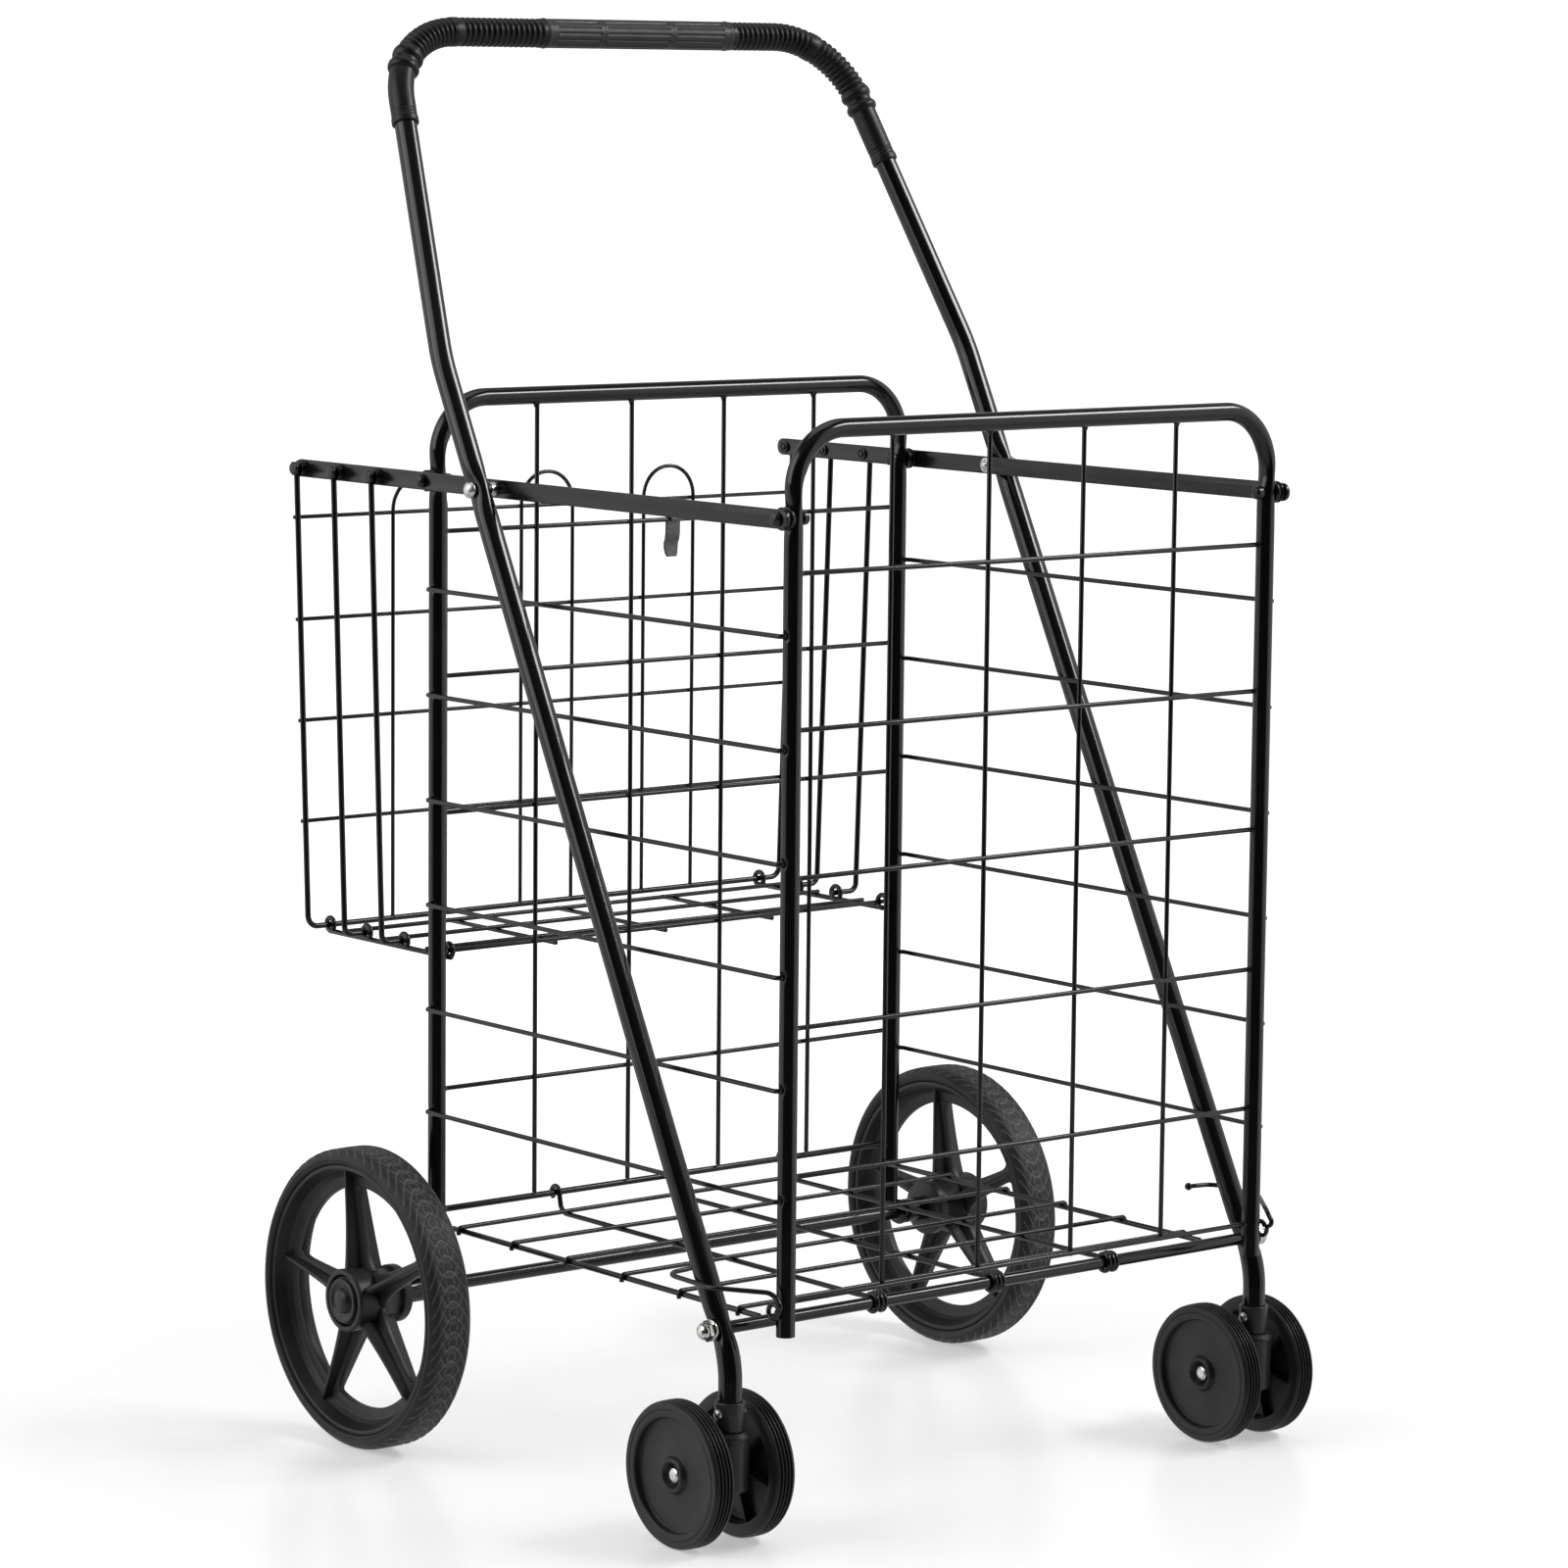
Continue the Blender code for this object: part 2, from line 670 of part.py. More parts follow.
def sleeve(name, stations, look):
    """Hollow sleeve; stations is a list of (s, outer radius)."""
    keys = [s for s, r in stations]
    marks = sub_path(keys[0], keys[-1], keys)
    pts, radii = [], []
    for m in marks:
        pts.append(along(m))
        for (s0, r0), (s1, r1) in zip(stations, stations[1:]):
            if s0 <= m <= s1:
                radii.append(r0 + (r1 - r0) * (m - s0) / max(s1 - s0, 1e-6))
                break
    build(name, [[pipe(pts, radii, 7.9, 10)]], look, B)


sleeve("grip_centre", [(-66.0, 9.3), (-63.0, 9.3), (-60.0, 10.0), (89.0, 10.0),
                       (92.0, 9.3), (95.0, 9.3)], GRIP)
profile = [(0.4, 10.0), (4.0, 9.6), (118.0, 9.5), (120.0, 10.8),
           (124.0, 10.8), (127.5, 9.2), (131.0, 10.9), (135.0, 10.9),
           (137.5, 8.9), (176.0, 8.9)]
sleeve("grip_bend_right", [(95.0 + t, r) for t, r in profile], GRIP)
sleeve("grip_bend_left", [(-66.0 - t, r) for t, r in reversed(profile)], GRIP)

build(
    "cross_rod",
    [[cyl_x(-238.0, 238.0, CROSS_Y, CROSS_Z, 4.0, 8)]],
    PAINT,
    B,
)
for side, s in SIDES:
    cup = [(238.4, 0.0), (238.4, 4.4), (234.0, 4.4), (234.0, 6.8), (238.2, 6.8),
           (241.4, 5.6), (243.6, 2.4)]
    build(
        f"acorn_nut_{side}",
        [[lathe((0, CROSS_Y, CROSS_Z), X * s, cup, 10)]],
        NICKEL,
        B,
    )
    socket = [(75.4, 9.2), (76.2, 9.7), (93.2, 9.7), (94.0, 9.2), (94.0, 7.9),
              (84.4, 7.9), (84.4, 0.0)]
    build(
        f"caster_socket_{side}",
        [[lathe((s * HANDLE_X, CASTER_Y, 0.0), Z, socket, 12)]],
        PLASTIC,
        B,
    )
    # guide loop round the handle leg and the foot of the front leg
    ring = fillet(
        [(s * 191.9, -12.2, 163.5), (s * 210.5, -12.2, 163.5), (s * 236.6, 28.0, 163.5),
         (s * 236.6, 73.0, 163.5), (s * 215.8, 73.0, 163.5), (s * 215.8, 36.0, 163.5),
         (s * 191.9, 11.0, 163.5)],
        [7.0, 7.0, 10.0, 9.0, 9.0, 10.0, 7.0],
        2,
        closed=True,
    )
    build(
        f"guide_loop_{side}",
        [[sweep(ring, R_WIRE, 5, closed=True, normal=Z)]],
        PAINT,
        B,
    )

# ------------------------------------------------------------------ casters
for side, s in SIDES:
    top = (s * HANDLE_X, CASTER_Y, 0.0)
    hub_y = CASTER_Y + CASTER_TRAIL
    barrel = [(37.0, 11.0), (38.0, 12.0), (68.0, 12.0), (70.0, 12.5),
              (73.6, 12.5), (74.9, 11.2)]
    boss = lathe((s * HANDLE_X, hub_y, CASTER_Z), X, [(-14.8, 8.0), (14.8, 8.0)], 12)
    web = box((s * HANDLE_X, CASTER_Y + 11.5, 49.0), (11.0, 18.0, 15.0))
    bore = cyl_x(s * HANDLE_X - 20, s * HANDLE_X + 20, hub_y, CASTER_Z, 3.3, 10)
    build(
        f"caster_housing_{side}",
        [[lathe(top, Z, barrel, 14)], [boss], [web]],
        PLASTIC,
        (s * HANDLE_X, CASTER_Y, CASTER_Z),
        [[bore]],
    )
    pin = [(-32.4, 2.6), (-30.6, 4.8), (-30.6, 2.8), (30.6, 2.8),
           (30.6, 4.8), (32.4, 2.6)]
    build(
        f"caster_axle_{side}",
        [[lathe((s * HANDLE_X, hub_y, CASTER_Z), X, pin, 10)]],
        NICKEL,
        (s * HANDLE_X, hub_y, CASTER_Z),
    )
    for place, e in (("outer", s), ("inner", -s)):
        wheel = [
            (15.3, 3.4), (15.3, 8.0), (21.0, 8.6), (21.0, 35.0), (17.6, 37.0),
            (17.4, 44.8), (19.2, 47.0), (29.8, 47.0), (31.8, 45.4), (31.8, 37.6),
            (28.4, 36.0), (28.4, 9.2), (30.2, 8.2), (30.2, 3.4),
        ]
        build(
            f"caster_wheel_{side}_{place}",
            [[lathe((s * HANDLE_X, hub_y, CASTER_Z), X * e, wheel, 22, ring=True)]],
            RUBBER,
            (s * HANDLE_X + e * 24.5, hub_y, CASTER_Z),
        )
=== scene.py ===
import math

import bmesh
import bpy
import numpy as np
from mathutils import Matrix, Vector


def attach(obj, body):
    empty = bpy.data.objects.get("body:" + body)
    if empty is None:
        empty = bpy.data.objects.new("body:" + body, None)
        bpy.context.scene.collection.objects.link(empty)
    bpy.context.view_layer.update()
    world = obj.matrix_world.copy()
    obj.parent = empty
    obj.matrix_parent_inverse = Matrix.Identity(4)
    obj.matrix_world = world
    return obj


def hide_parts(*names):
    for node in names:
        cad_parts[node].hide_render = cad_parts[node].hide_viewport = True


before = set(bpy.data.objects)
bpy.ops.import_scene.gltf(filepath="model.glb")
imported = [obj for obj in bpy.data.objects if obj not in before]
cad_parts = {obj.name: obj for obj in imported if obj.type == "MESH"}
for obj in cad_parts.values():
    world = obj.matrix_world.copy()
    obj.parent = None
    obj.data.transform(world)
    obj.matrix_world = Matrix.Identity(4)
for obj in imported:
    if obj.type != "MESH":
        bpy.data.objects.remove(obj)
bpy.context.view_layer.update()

# ---------------------------------------------------------------------------
# Sizes, in millimetres, in the part's own layout; y is shifted by Y0 and all
# is scaled to metres when a piece is made.
# ---------------------------------------------------------------------------
MM = 0.001
Y0 = 253.65
HX = 200.0
Y_REAR = 372.0
TOP_Z = 699.0
RAIL_Z = 645.0
PANEL_Z = (611.0, 514.4, 422.5, 329.0, 235.5)
FOOT_Z = 157.0
PANEL_X = (-120.0, -40.0, 40.0, 120.0)
SIDE_Z = (573.0, 502.6, 432.2, 361.8, 291.0, 221.4)
SIDE_X = 209.2
RAIL_IN, RAIL_OUT, RAIL_H = 210.2, 213.0, 12.0
RAIL_FRONT, RAIL_REAR = -9.5, 521.0
HOOK_Y = (512.0, 468.0, 424.0)
HANDLE_Y = 289.8
AXLE_Z = 101.0
ROD_Z = 153.0
HANDLE_X = 226.0
LEAN = math.atan(0.51)
CASTER_Y, CASTER_TRAIL, CASTER_Z = 22.0, 19.5, 47.0
CROSS_Y, CROSS_Z = 31.4, 138.3
FLOOR_Z = 140.0
BASKET_Z = 329.0
BASKET_X = 190.0
R_WIRE = 1.6

X = Vector((1.0, 0.0, 0.0))
Y = Vector((0.0, 1.0, 0.0))
Z = Vector((0.0, 0.0, 1.0))
SIDES = (("left", -1.0), ("right", 1.0))


# ---------------------------------------------------------------------------
# Materials.  All are procedural, in object coordinates (metres).
# ---------------------------------------------------------------------------
class Graph:
    def __init__(self, name):
        self.mat = bpy.data.materials.new(name)
        self.mat.use_nodes = True
        self.t = self.mat.node_tree
        self.shader = self.t.nodes["Principled BSDF"]
        self.coord = self.t.nodes.new("ShaderNodeTexCoord").outputs["Object"]

    def node(self, kind, **values):
        n = self.t.nodes.new(kind)
        for key, value in values.items():
            setattr(n, key, value)
        return n

    def link(self, a, b):
        self.t.links.new(a, b)

    def mapped(self, scale, rotation=(0, 0, 0)):
        m = self.node("ShaderNodeMapping")
        m.inputs["Scale"].default_value = scale
        m.inputs["Rotation"].default_value = rotation
        self.link(self.coord, m.inputs["Vector"])
        return m.outputs["Vector"]

    def noise(self, scale, detail=4.0, rough=0.55, distort=0.0, vector=None):
        n = self.node("ShaderNodeTexNoise")
        n.inputs["Scale"].default_value = scale
        n.inputs["Detail"].default_value = detail
        n.inputs["Roughness"].default_value = rough
        n.inputs["Distortion"].default_value = distort
        self.link(vector or self.coord, n.inputs["Vector"])
        return n.outputs["Fac"]

    def spread(self, value, lo, hi, a=0.0, b=1.0, smooth=False):
        n = self.node("ShaderNodeMapRange")
        n.interpolation_type = "SMOOTHSTEP" if smooth else "LINEAR"
        n.inputs["From Min"].default_value = a
        n.inputs["From Max"].default_value = b
        n.inputs["To Min"].default_value = lo
        n.inputs["To Max"].default_value = hi
        self.link(value, n.inputs["Value"])
        return n.outputs["Result"]

    def blend(self, fac, a, b):
        n = self.node("ShaderNodeMix", data_type="RGBA")
        self.link(fac, n.inputs["Factor"])
        for socket, colour in ((n.inputs["A"], a), (n.inputs["B"], b)):
            if isinstance(colour, tuple):
                socket.default_value = (*colour, 1.0)
            else:
                self.link(colour, socket)
        return n.outputs["Result"]

    def maths(self, op, a, b, clamp=False):
        n = self.node("ShaderNodeMath", operation=op, use_clamp=clamp)
        for socket, v in ((n.inputs[0], a), (n.inputs[1], b)):
            if isinstance(v, (int, float)):
                socket.default_value = v
            else:
                self.link(v, socket)
        return n.outputs["Value"]

    def bump(self, height, distance, strength=1.0, below=None):
        n = self.node("ShaderNodeBump")
        n.inputs["Strength"].default_value = strength
        n.inputs["Distance"].default_value = distance
        self.link(height, n.inputs["Height"])
        if below is not None:
            self.link(below, n.inputs["Normal"])
        return n.outputs["Normal"]

    def done(self, colour=None, rough=None, normal=None, **fixed):
        s = self.shader
        if colour is not None:
            self.link(colour, s.inputs["Base Color"])
        if rough is not None:
            self.link(rough, s.inputs["Roughness"])
        if normal is not None:
            self.link(normal, s.inputs["Normal"])
        for key, value in fixed.items():
            s.inputs[key.replace("_", " ")].default_value = value
        return self.mat


def paint(name, dark, light, rough_lo, rough_hi, peel=1.0, coat=0.0):
    """Black enamel over steel tube or wire: faint orange peel, haze, dust."""
    g = Graph(name)
    cloud = g.noise(9.0, 3.0, 0.5)
    base = g.blend(g.spread(cloud, 0.0, 1.0, 0.35, 0.7), dark, light)
    dust = g.spread(g.noise(700.0, 5.0, 0.7), 0.0, 1.0, 0.70, 0.80, True)
    low = g.spread(g.noise(34.0, 4.0, 0.6), 0.0, 0.30, 0.45, 0.75)
    dust = g.maths("MULTIPLY", dust, low)
    colour = g.blend(dust, base, (0.045, 0.044, 0.042))
    rough = g.spread(g.noise(38.0, 4.0, 0.6), rough_lo, rough_hi, 0.3, 0.72)
    rough = g.maths("ADD", rough, g.maths("MULTIPLY", dust, 0.25), True)
    fine = g.bump(g.noise(950.0, 2.0, 0.5), 0.00002 * peel, 0.30)
    wave = g.bump(g.noise(150.0, 2.0, 0.4), 0.00006 * peel, 0.30, fine)
    return g.done(colour, rough, wave, Coat_Weight=coat, Coat_Roughness=0.06,
                  Specular_IOR_Level=0.5, IOR=1.5)


def plastic(name, dark, light, rough_lo, rough_hi, grain=1400.0, depth=0.00006,
            streak=0.0, spec=0.45, marks=None):
    """Moulded black plastic or rubber: fine spark-eroded grain, soft mottling,
    pale rub marks on the high spots, and, for the tyre, a painted highlight along the tread lines."""
    g = Graph(name)
    cloud = g.noise(24.0, 4.0, 0.6)
    base = g.blend(g.spread(cloud, 0.0, 1.0, 0.36, 0.68), dark, light)
    scuff = g.spread(g.noise(110.0, 6.0, 0.75, 0.6), 0.0, 1.0, 0.60, 0.74, True)
    scuff = g.maths("MULTIPLY", scuff, g.spread(g.noise(14.0, 3.0), 0.05, 0.5, 0.4, 0.7))
    pale = tuple(min(1.0, c * 2.0 + 0.006) for c in light)
    colour = g.blend(scuff, base, pale)
    # painted highlight: a pale colour laid along the tyre's tread lines from a mesh attribute, broken up by noise,
    # standing in for the glints they catch
    if marks:
        tread_highlight = g.node("ShaderNodeAttribute", attribute_name="tread_highlight")
        tread_highlight_breakup = g.spread(g.noise(260.0, 4.0, 0.7), 0.35, 1.0, 0.3, 0.62)
        colour = g.blend(g.maths("MULTIPLY", tread_highlight.outputs["Fac"], tread_highlight_breakup, True), colour, marks)
    rough = g.spread(g.noise(70.0, 5.0, 0.6), rough_lo, rough_hi, 0.3, 0.7)
    rough = g.maths("ADD", rough, g.maths("MULTIPLY", scuff, 0.12), True)
    normal = g.bump(g.noise(grain, 4.0, 0.7), depth, 0.45)
    if streak:
        around = g.noise(1.0, 3.0, 0.6, 0.0, g.mapped((26.0, 900.0, 900.0)))
        normal = g.bump(around, streak, 0.25, normal)
    return g.done(colour, rough, normal, Specular_IOR_Level=spec)


def plated(name, tone, rough_lo, rough_hi):
    """Zinc or nickel plated fastener: bright, slightly smoky, hairline marks."""
    g = Graph(name)
    cloud = g.noise(420.0, 4.0, 0.6)
    darker = tuple(c * 0.62 for c in tone)
    colour = g.blend(g.spread(cloud, 0.0, 1.0, 0.34, 0.62), darker, tone)
    lines = g.noise(1.0, 5.0, 0.7, 0.4, g.mapped((900.0, 260.0, 2600.0), (0.3, 0.9, 0.2)))
    rough = g.spread(lines, rough_lo, rough_hi, 0.3, 0.7)
    normal = g.bump(lines, 0.00004, 0.3)
    return g.done(colour, rough, normal, Metallic=1.0)


TUBE = paint("enamel_tube", (0.0026, 0.0026, 0.0027), (0.0048, 0.0048, 0.0050), 0.11, 0.19)
WIRE = paint("enamel_wire", (0.0030, 0.0030, 0.0031), (0.0055, 0.0055, 0.0057), 0.15, 0.26)
RAIL = paint("enamel_flat_bar", (0.0030, 0.0031, 0.0034), (0.0060, 0.0062, 0.0068), 0.14, 0.28, 1.5)
NYLON = plastic("nylon_black", (0.003, 0.003, 0.003), (0.006, 0.006, 0.006), 0.18, 0.30)
RIM = plastic("rim_plastic", (0.0190, 0.0190, 0.0190), (0.0260, 0.0258, 0.0255), 0.34, 0.46, 1300.0, 0.00004, 0.0, 0.36)
HUB = plastic("hub_cap_plastic", (0.0170, 0.0170, 0.0170), (0.0230, 0.0228, 0.0226), 0.30, 0.42, 1500.0, 0.00004, 0.0, 0.40)
# the tyre's last colour is a painted highlight, laid pale along its tread lines
TYRE = plastic("tyre_rubber", (0.0210, 0.0209, 0.0207), (0.0310, 0.0307, 0.0303), 0.44, 0.60, 1000.0, 0.00008,
               0.0, 0.32, (0.20, 0.196, 0.188))
CASTER = plastic("caster_wheel_plastic", (0.0170, 0.0170, 0.0170), (0.0235, 0.0234, 0.0231), 0.32, 0.44, 1500.0, 0.00004, 0.0, 0.34)
HOUSING = plastic("caster_housing_plastic", (0.0270, 0.0270, 0.0270), (0.0345, 0.0343, 0.0340), 0.26, 0.38, 1200.0, 0.00004, 0.0, 0.42)
GRIP = plastic("grip_soft_pvc", (0.0240, 0.0240, 0.0240), (0.0310, 0.0309, 0.0307), 0.38, 0.50, 1100.0, 0.00004, 0.0, 0.42)
BELLOWS = plastic("grip_bellows_pvc", (0.0035, 0.0035, 0.0035), (0.0060, 0.0060, 0.0060), 0.34, 0.44, 1000.0, 0.00003, 0.0, 0.34)
ZINC = plated("zinc_bright", (0.84, 0.85, 0.86), 0.20, 0.40)
NICKEL = plated("nickel_bright", (0.86, 0.84, 0.80), 0.07, 0.2)
SPRING = plated("spring_steel", (0.17, 0.17, 0.175), 0.28, 0.44)
DULL = paint("blackened_bolt", (0.006, 0.006, 0.006), (0.012, 0.012, 0.012), 0.20, 0.34, 1.4)


# ---------------------------------------------------------------------------
# Mesh helpers (millimetres)
# ---------------------------------------------------------------------------
def fillet(corners, radii, segs=8, closed=False):
    pts = [Vector(c) for c in corners]
    count = len(pts)
    if not isinstance(radii, (list, tuple)):
        radii = [radii] * count
    out = []
    for i, p in enumerate(pts):
        if not closed and i in (0, count - 1):
            out.append(p)
            continue
        a = pts[i - 1] - p
        b = pts[(i + 1) % count] - p
        la, lb = a.length, b.length
        a.normalize()
        b.normalize()
        angle = math.pi - a.angle(b)
        r = radii[i]
        if r <= 0 or angle < 1e-4:
            out.append(p)
            continue
        reach = r * math.tan(angle / 2)
        limit = 0.49 * min(la, lb)
        if reach > limit:
            reach = limit
            r = reach / math.tan(angle / 2)
        centre = p + (a + b).normalized() * (r / math.cos(angle / 2))
        start = p + a * reach - centre
        axis = start.cross(p + b * reach - centre).normalized()
        steps = segs[i] if isinstance(segs, (list, tuple)) else segs
        for k in range(steps + 1):
            turn = Matrix.Rotation(angle * k / steps, 3, axis)
            out.append(centre + turn @ start)
    return out


def prof(points, radii=0.4, segs=3):
    """A turned profile (distance, radius) with its corners rounded."""
    flat = [Vector((t, r, 0.0)) for t, r in points]
    out = fillet(flat, radii, segs)
    return [(p.x, max(p.y, 0.0)) for p in out]


def frames(pts, closed, normal):
    count = len(pts)
    result, u = [], None
    for i in range(count):
        if closed:
            t = (pts[(i + 1) % count] - pts[i]).normalized() + (pts[i] - pts[i - 1]).normalized()
        elif i == 0:
            t = pts[1] - pts[0]
        elif i == count - 1:
            t = pts[-1] - pts[-2]
        else:
            t = (pts[i + 1] - pts[i]).normalized() + (pts[i] - pts[i - 1]).normalized()
        t = t.normalized()
        if normal is not None:
            u = normal - t * normal.dot(t)
        elif u is None:
            ref = X if abs(t.x) < 0.6 else Z
            u = ref - t * ref.dot(t)
        else:
            u = u - t * u.dot(t)
        u = u.normalized()
        result.append((t, u, t.cross(u)))
    return result


def densify(pts, spots, reach=14.0, step=1.6):
    """Extra points on straight stretches near the given points."""
    out = [pts[0]]
    for a, b in zip(pts, pts[1:]):
        d = b - a
        length = d.length
        if length > step * 2:
            d = d / length
            marks = set()
            for s in spots:
                m = (Vector(s) - a).dot(d)
                off = (a + d * m - Vector(s)).length
                if off > 12.0:
                    continue
                k = int(reach / step)
                for j in range(-k, k + 1):
                    v = m + j * step
                    if 0.6 < v < length - 0.6:
                        marks.add(round(v, 2))
            last = 0.0
            for v in sorted(marks):
                if v - last > step * 0.6:
                    out.append(a + d * v)
                    last = v
        out.append(b)
    return out


def wire(path, r=R_WIRE, sides=12, closed=False, normal=None, taper=True):
    """Solid round wire with sheared, slightly rounded ends."""
    pts = [Vector(p) for p in path]
    radii = [r] * len(pts)
    if not closed and taper:
        head = (pts[1] - pts[0]).normalized()
        tail = (pts[-2] - pts[-1]).normalized()
        pts = ([pts[0], pts[0] + head * (0.10 * r), pts[0] + head * (0.35 * r)] + pts[1:-1]
               + [pts[-1] + tail * (0.35 * r), pts[-1] + tail * (0.10 * r), pts[-1]])
        radii = [0.72 * r, 0.90 * r, r] + radii[1:-1] + [r, 0.90 * r, 0.72 * r]
    fr = frames(pts, closed, normal)
    verts, faces = [], []
    for p, (t, u, v), rad in zip(pts, fr, radii):
        for k in range(sides):
            a = 2 * math.pi * k / sides
            verts.append(p + u * (rad * math.cos(a)) + v * (rad * math.sin(a)))
    count = len(pts)
    for i in range(count if closed else count - 1):
        j = (i + 1) % count
        for k in range(sides):
            m = (k + 1) % sides
            faces.append([i * sides + k, i * sides + m, j * sides + m, j * sides + k])
    if not closed:
        faces.append([k for k in reversed(range(sides))])
        faces.append([(count - 1) * sides + k for k in range(sides)])
    return verts, faces


def pipe(path, r_out, r_in, sides=28, normal=None):
    """Hollow tube; r_out is a number or a function(index, angle)."""
    pts = [Vector(p) for p in path]
    fr = frames(pts, False, normal)
    count = len(pts)
    verts, faces = [], []
    for i, (p, (t, u, v)) in enumerate(zip(pts, fr)):
        for inner in (False, True):
            for k in range(sides):
                a = 2 * math.pi * k / sides
                rad = r_in if inner else (r_out(i, a) if callable(r_out) else r_out)
                verts.append(p + u * (rad * math.cos(a)) + v * (rad * math.sin(a)))
    step = 2 * sides
    for i in range(count - 1):
        for k in range(sides):
            m = (k + 1) % sides
            a, b = i * step, (i + 1) * step
            faces.append([a + k, a + m, b + m, b + k])
            a, b = a + sides, b + sides
            faces.append([a + k, b + k, b + m, a + m])
    for k in range(sides):
        m = (k + 1) % sides
        faces.append([k, sides + k, sides + m, m])
        e = (count - 1) * step
        faces.append([e + k, e + m, e + sides + m, e + sides + k])
    return verts, faces


def lathe(origin, axis, profile, sides=48, ring=False, shape=None, phase=0.0):
    """Turned solid; shape(angle, index, t, r) may change a point's radius."""
    origin, axis = Vector(origin), Vector(axis).normalized()
    u = (Z if abs(axis.z) < 0.9 else X).copy()
    u = (u - axis * u.dot(axis)).normalized()
    v = axis.cross(u)
    verts, rows = [], []
    for i, (t, r) in enumerate(profile):
        if r < 1e-6:
            rows.append([len(verts)])
            verts.append(origin + axis * t)
            continue
        rows.append(list(range(len(verts), len(verts) + sides)))
        for k in range(sides):
            a = 2 * math.pi * (k + phase) / sides
            tt, rr = (t, r) if shape is None else shape(a, i, t, r)
            verts.append(origin + axis * tt + u * (rr * math.cos(a)) + v * (rr * math.sin(a)))
    faces = []
    count = len(rows)
    for i in range(count if ring else count - 1):
        a, b = rows[i], rows[(i + 1) % count]
        for k in range(sides):
            m = (k + 1) % sides
            if len(a) == 1:
                faces.append([a[0], b[m], b[k]])
            elif len(b) == 1:
                faces.append([a[k], a[m], b[0]])
            else:
                faces.append([a[k], a[m], b[m], b[k]])
    if not ring:
        if len(rows[0]) > 1:
            faces.append(list(reversed(rows[0])))
        if len(rows[-1]) > 1:
            faces.append(list(rows[-1]))
    return verts, faces


def loft(sections, closed_ends=True):
    """Skin over sections that have the same number of points."""
    n = len(sections[0])
    verts = [Vector(p) for s in sections for p in s]
    faces = []
    for i in range(len(sections) - 1):
        for k in range(n):
            m = (k + 1) % n
            faces.append([i * n + k, i * n + m, (i + 1) * n + m, (i + 1) * n + k])
    if closed_ends:
        faces.append(list(reversed(range(n))))
        faces.append([(len(sections) - 1) * n + k for k in range(n)])
    return verts, faces


def blob(p, rx, ry, rz, nu=10, nv=6):
    p = Vector(p)
    verts = [p + Z * rz]
    for j in range(1, nv):
        b = math.pi * j / nv
        for k in range(nu):
            a = 2 * math.pi * k / nu
            verts.append(p + Vector((rx * math.sin(b) * math.cos(a),
                                     ry * math.sin(b) * math.sin(a), rz * math.cos(b))))
    verts.append(p - Z * rz)
    faces = [[0, 1 + k, 1 + (k + 1) % nu] for k in range(nu)]
    for j in range(nv - 2):
        for k in range(nu):
            m = (k + 1) % nu
            a, b = 1 + j * nu, 1 + (j + 1) * nu
            faces.append([a + k, b + k, b + m, a + m])
    last = len(verts) - 1
    base = 1 + (nv - 2) * nu
    faces += [[last, base + (k + 1) % nu, base + k] for k in range(nu)]
    return verts, faces


def weld(p, direction, r=R_WIRE, size=1.0):
    """Small weld collar where a wire meets a tube, pointing along the wire."""
    bead = [(-1.6, r + 1.5 * size), (-0.3, r + 1.35 * size), (0.5, r + 0.8 * size),
            (1.3, r + 0.35 * size), (2.2, r + 0.06), (2.8, r - 0.3)]
    seed = p[0] * 0.37 + p[2] * 0.21 + p[1] * 0.11

    def lumpy(a, i, t, q):
        return t, q * (1.0 + 0.07 * math.sin(3 * a + seed) + 0.05 * math.sin(5 * a + 2 * seed))

    return lathe(p, direction, bead, 14, shape=lumpy)


OBJECTS = {}


def piece(name, parts, mat, body, nodes=(), angle=38.0, warp=None, weld_dist=0.0):
    verts, faces = [], []
    for v, f in parts:
        base = len(verts)
        verts.extend(v)
        faces.extend([[base + i for i in face] for face in f])
    if warp is not None:
        verts = [warp(Vector(v)) for v in verts]
    mesh = bpy.data.meshes.new(name)
    mesh.from_pydata([((v[0]) * MM, (v[1] - Y0) * MM, v[2] * MM) for v in verts], [], faces)
    mesh.update()
    bm = bmesh.new()
    bm.from_mesh(mesh)
    if weld_dist:
        bmesh.ops.remove_doubles(bm, verts=bm.verts, dist=weld_dist * MM)
    bmesh.ops.recalc_face_normals(bm, faces=bm.faces)
    bm.to_mesh(mesh)
    bm.free()
    mesh.materials.append(mat)
    mesh.shade_smooth()
    mesh.set_sharp_from_angle(angle=math.radians(angle))
    ob = bpy.data.objects.new(name, mesh)
    bpy.context.scene.collection.objects.link(ob)
    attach(ob, body)
    if nodes:
        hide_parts(*nodes)
    OBJECTS[name] = ob
    return ob


# ---------------------------------------------------------------------------
# Frames: bent tube, wire panel, weld beads
# ---------------------------------------------------------------------------
def frame_warp(y0):
    def warp(v):
        s = 1.0 if v.x > 0 else -1.0
        dx = abs(v.x) - HX
        if abs(dx) > 7.0:
            return v
        # leg pressed flat where the rail bolt goes through
        f = dx / 6.0
        w = math.exp(-((v.z - RAIL_Z - (4.0 if f > 0 else 13.0)) / 10.5) ** 2)
        if w > 0.01 and v.z < 690:
            pull = (2.0 if f > 0 else 2.3) * w * f
            v = Vector((v.x - s * pull, y0 + (v.y - y0) * (1 + 0.10 * w), v.z))
        # dimples round the side-wire holes
        if dx > 2.0:
            for z in SIDE_Z:
                d = math.hypot(v.y - y0, v.z - z)
                if d < 7.0:
                    v = Vector((v.x - s * 1.0 * math.exp(-(d / 2.9) ** 2), v.y, v.z))
        return v
    return warp


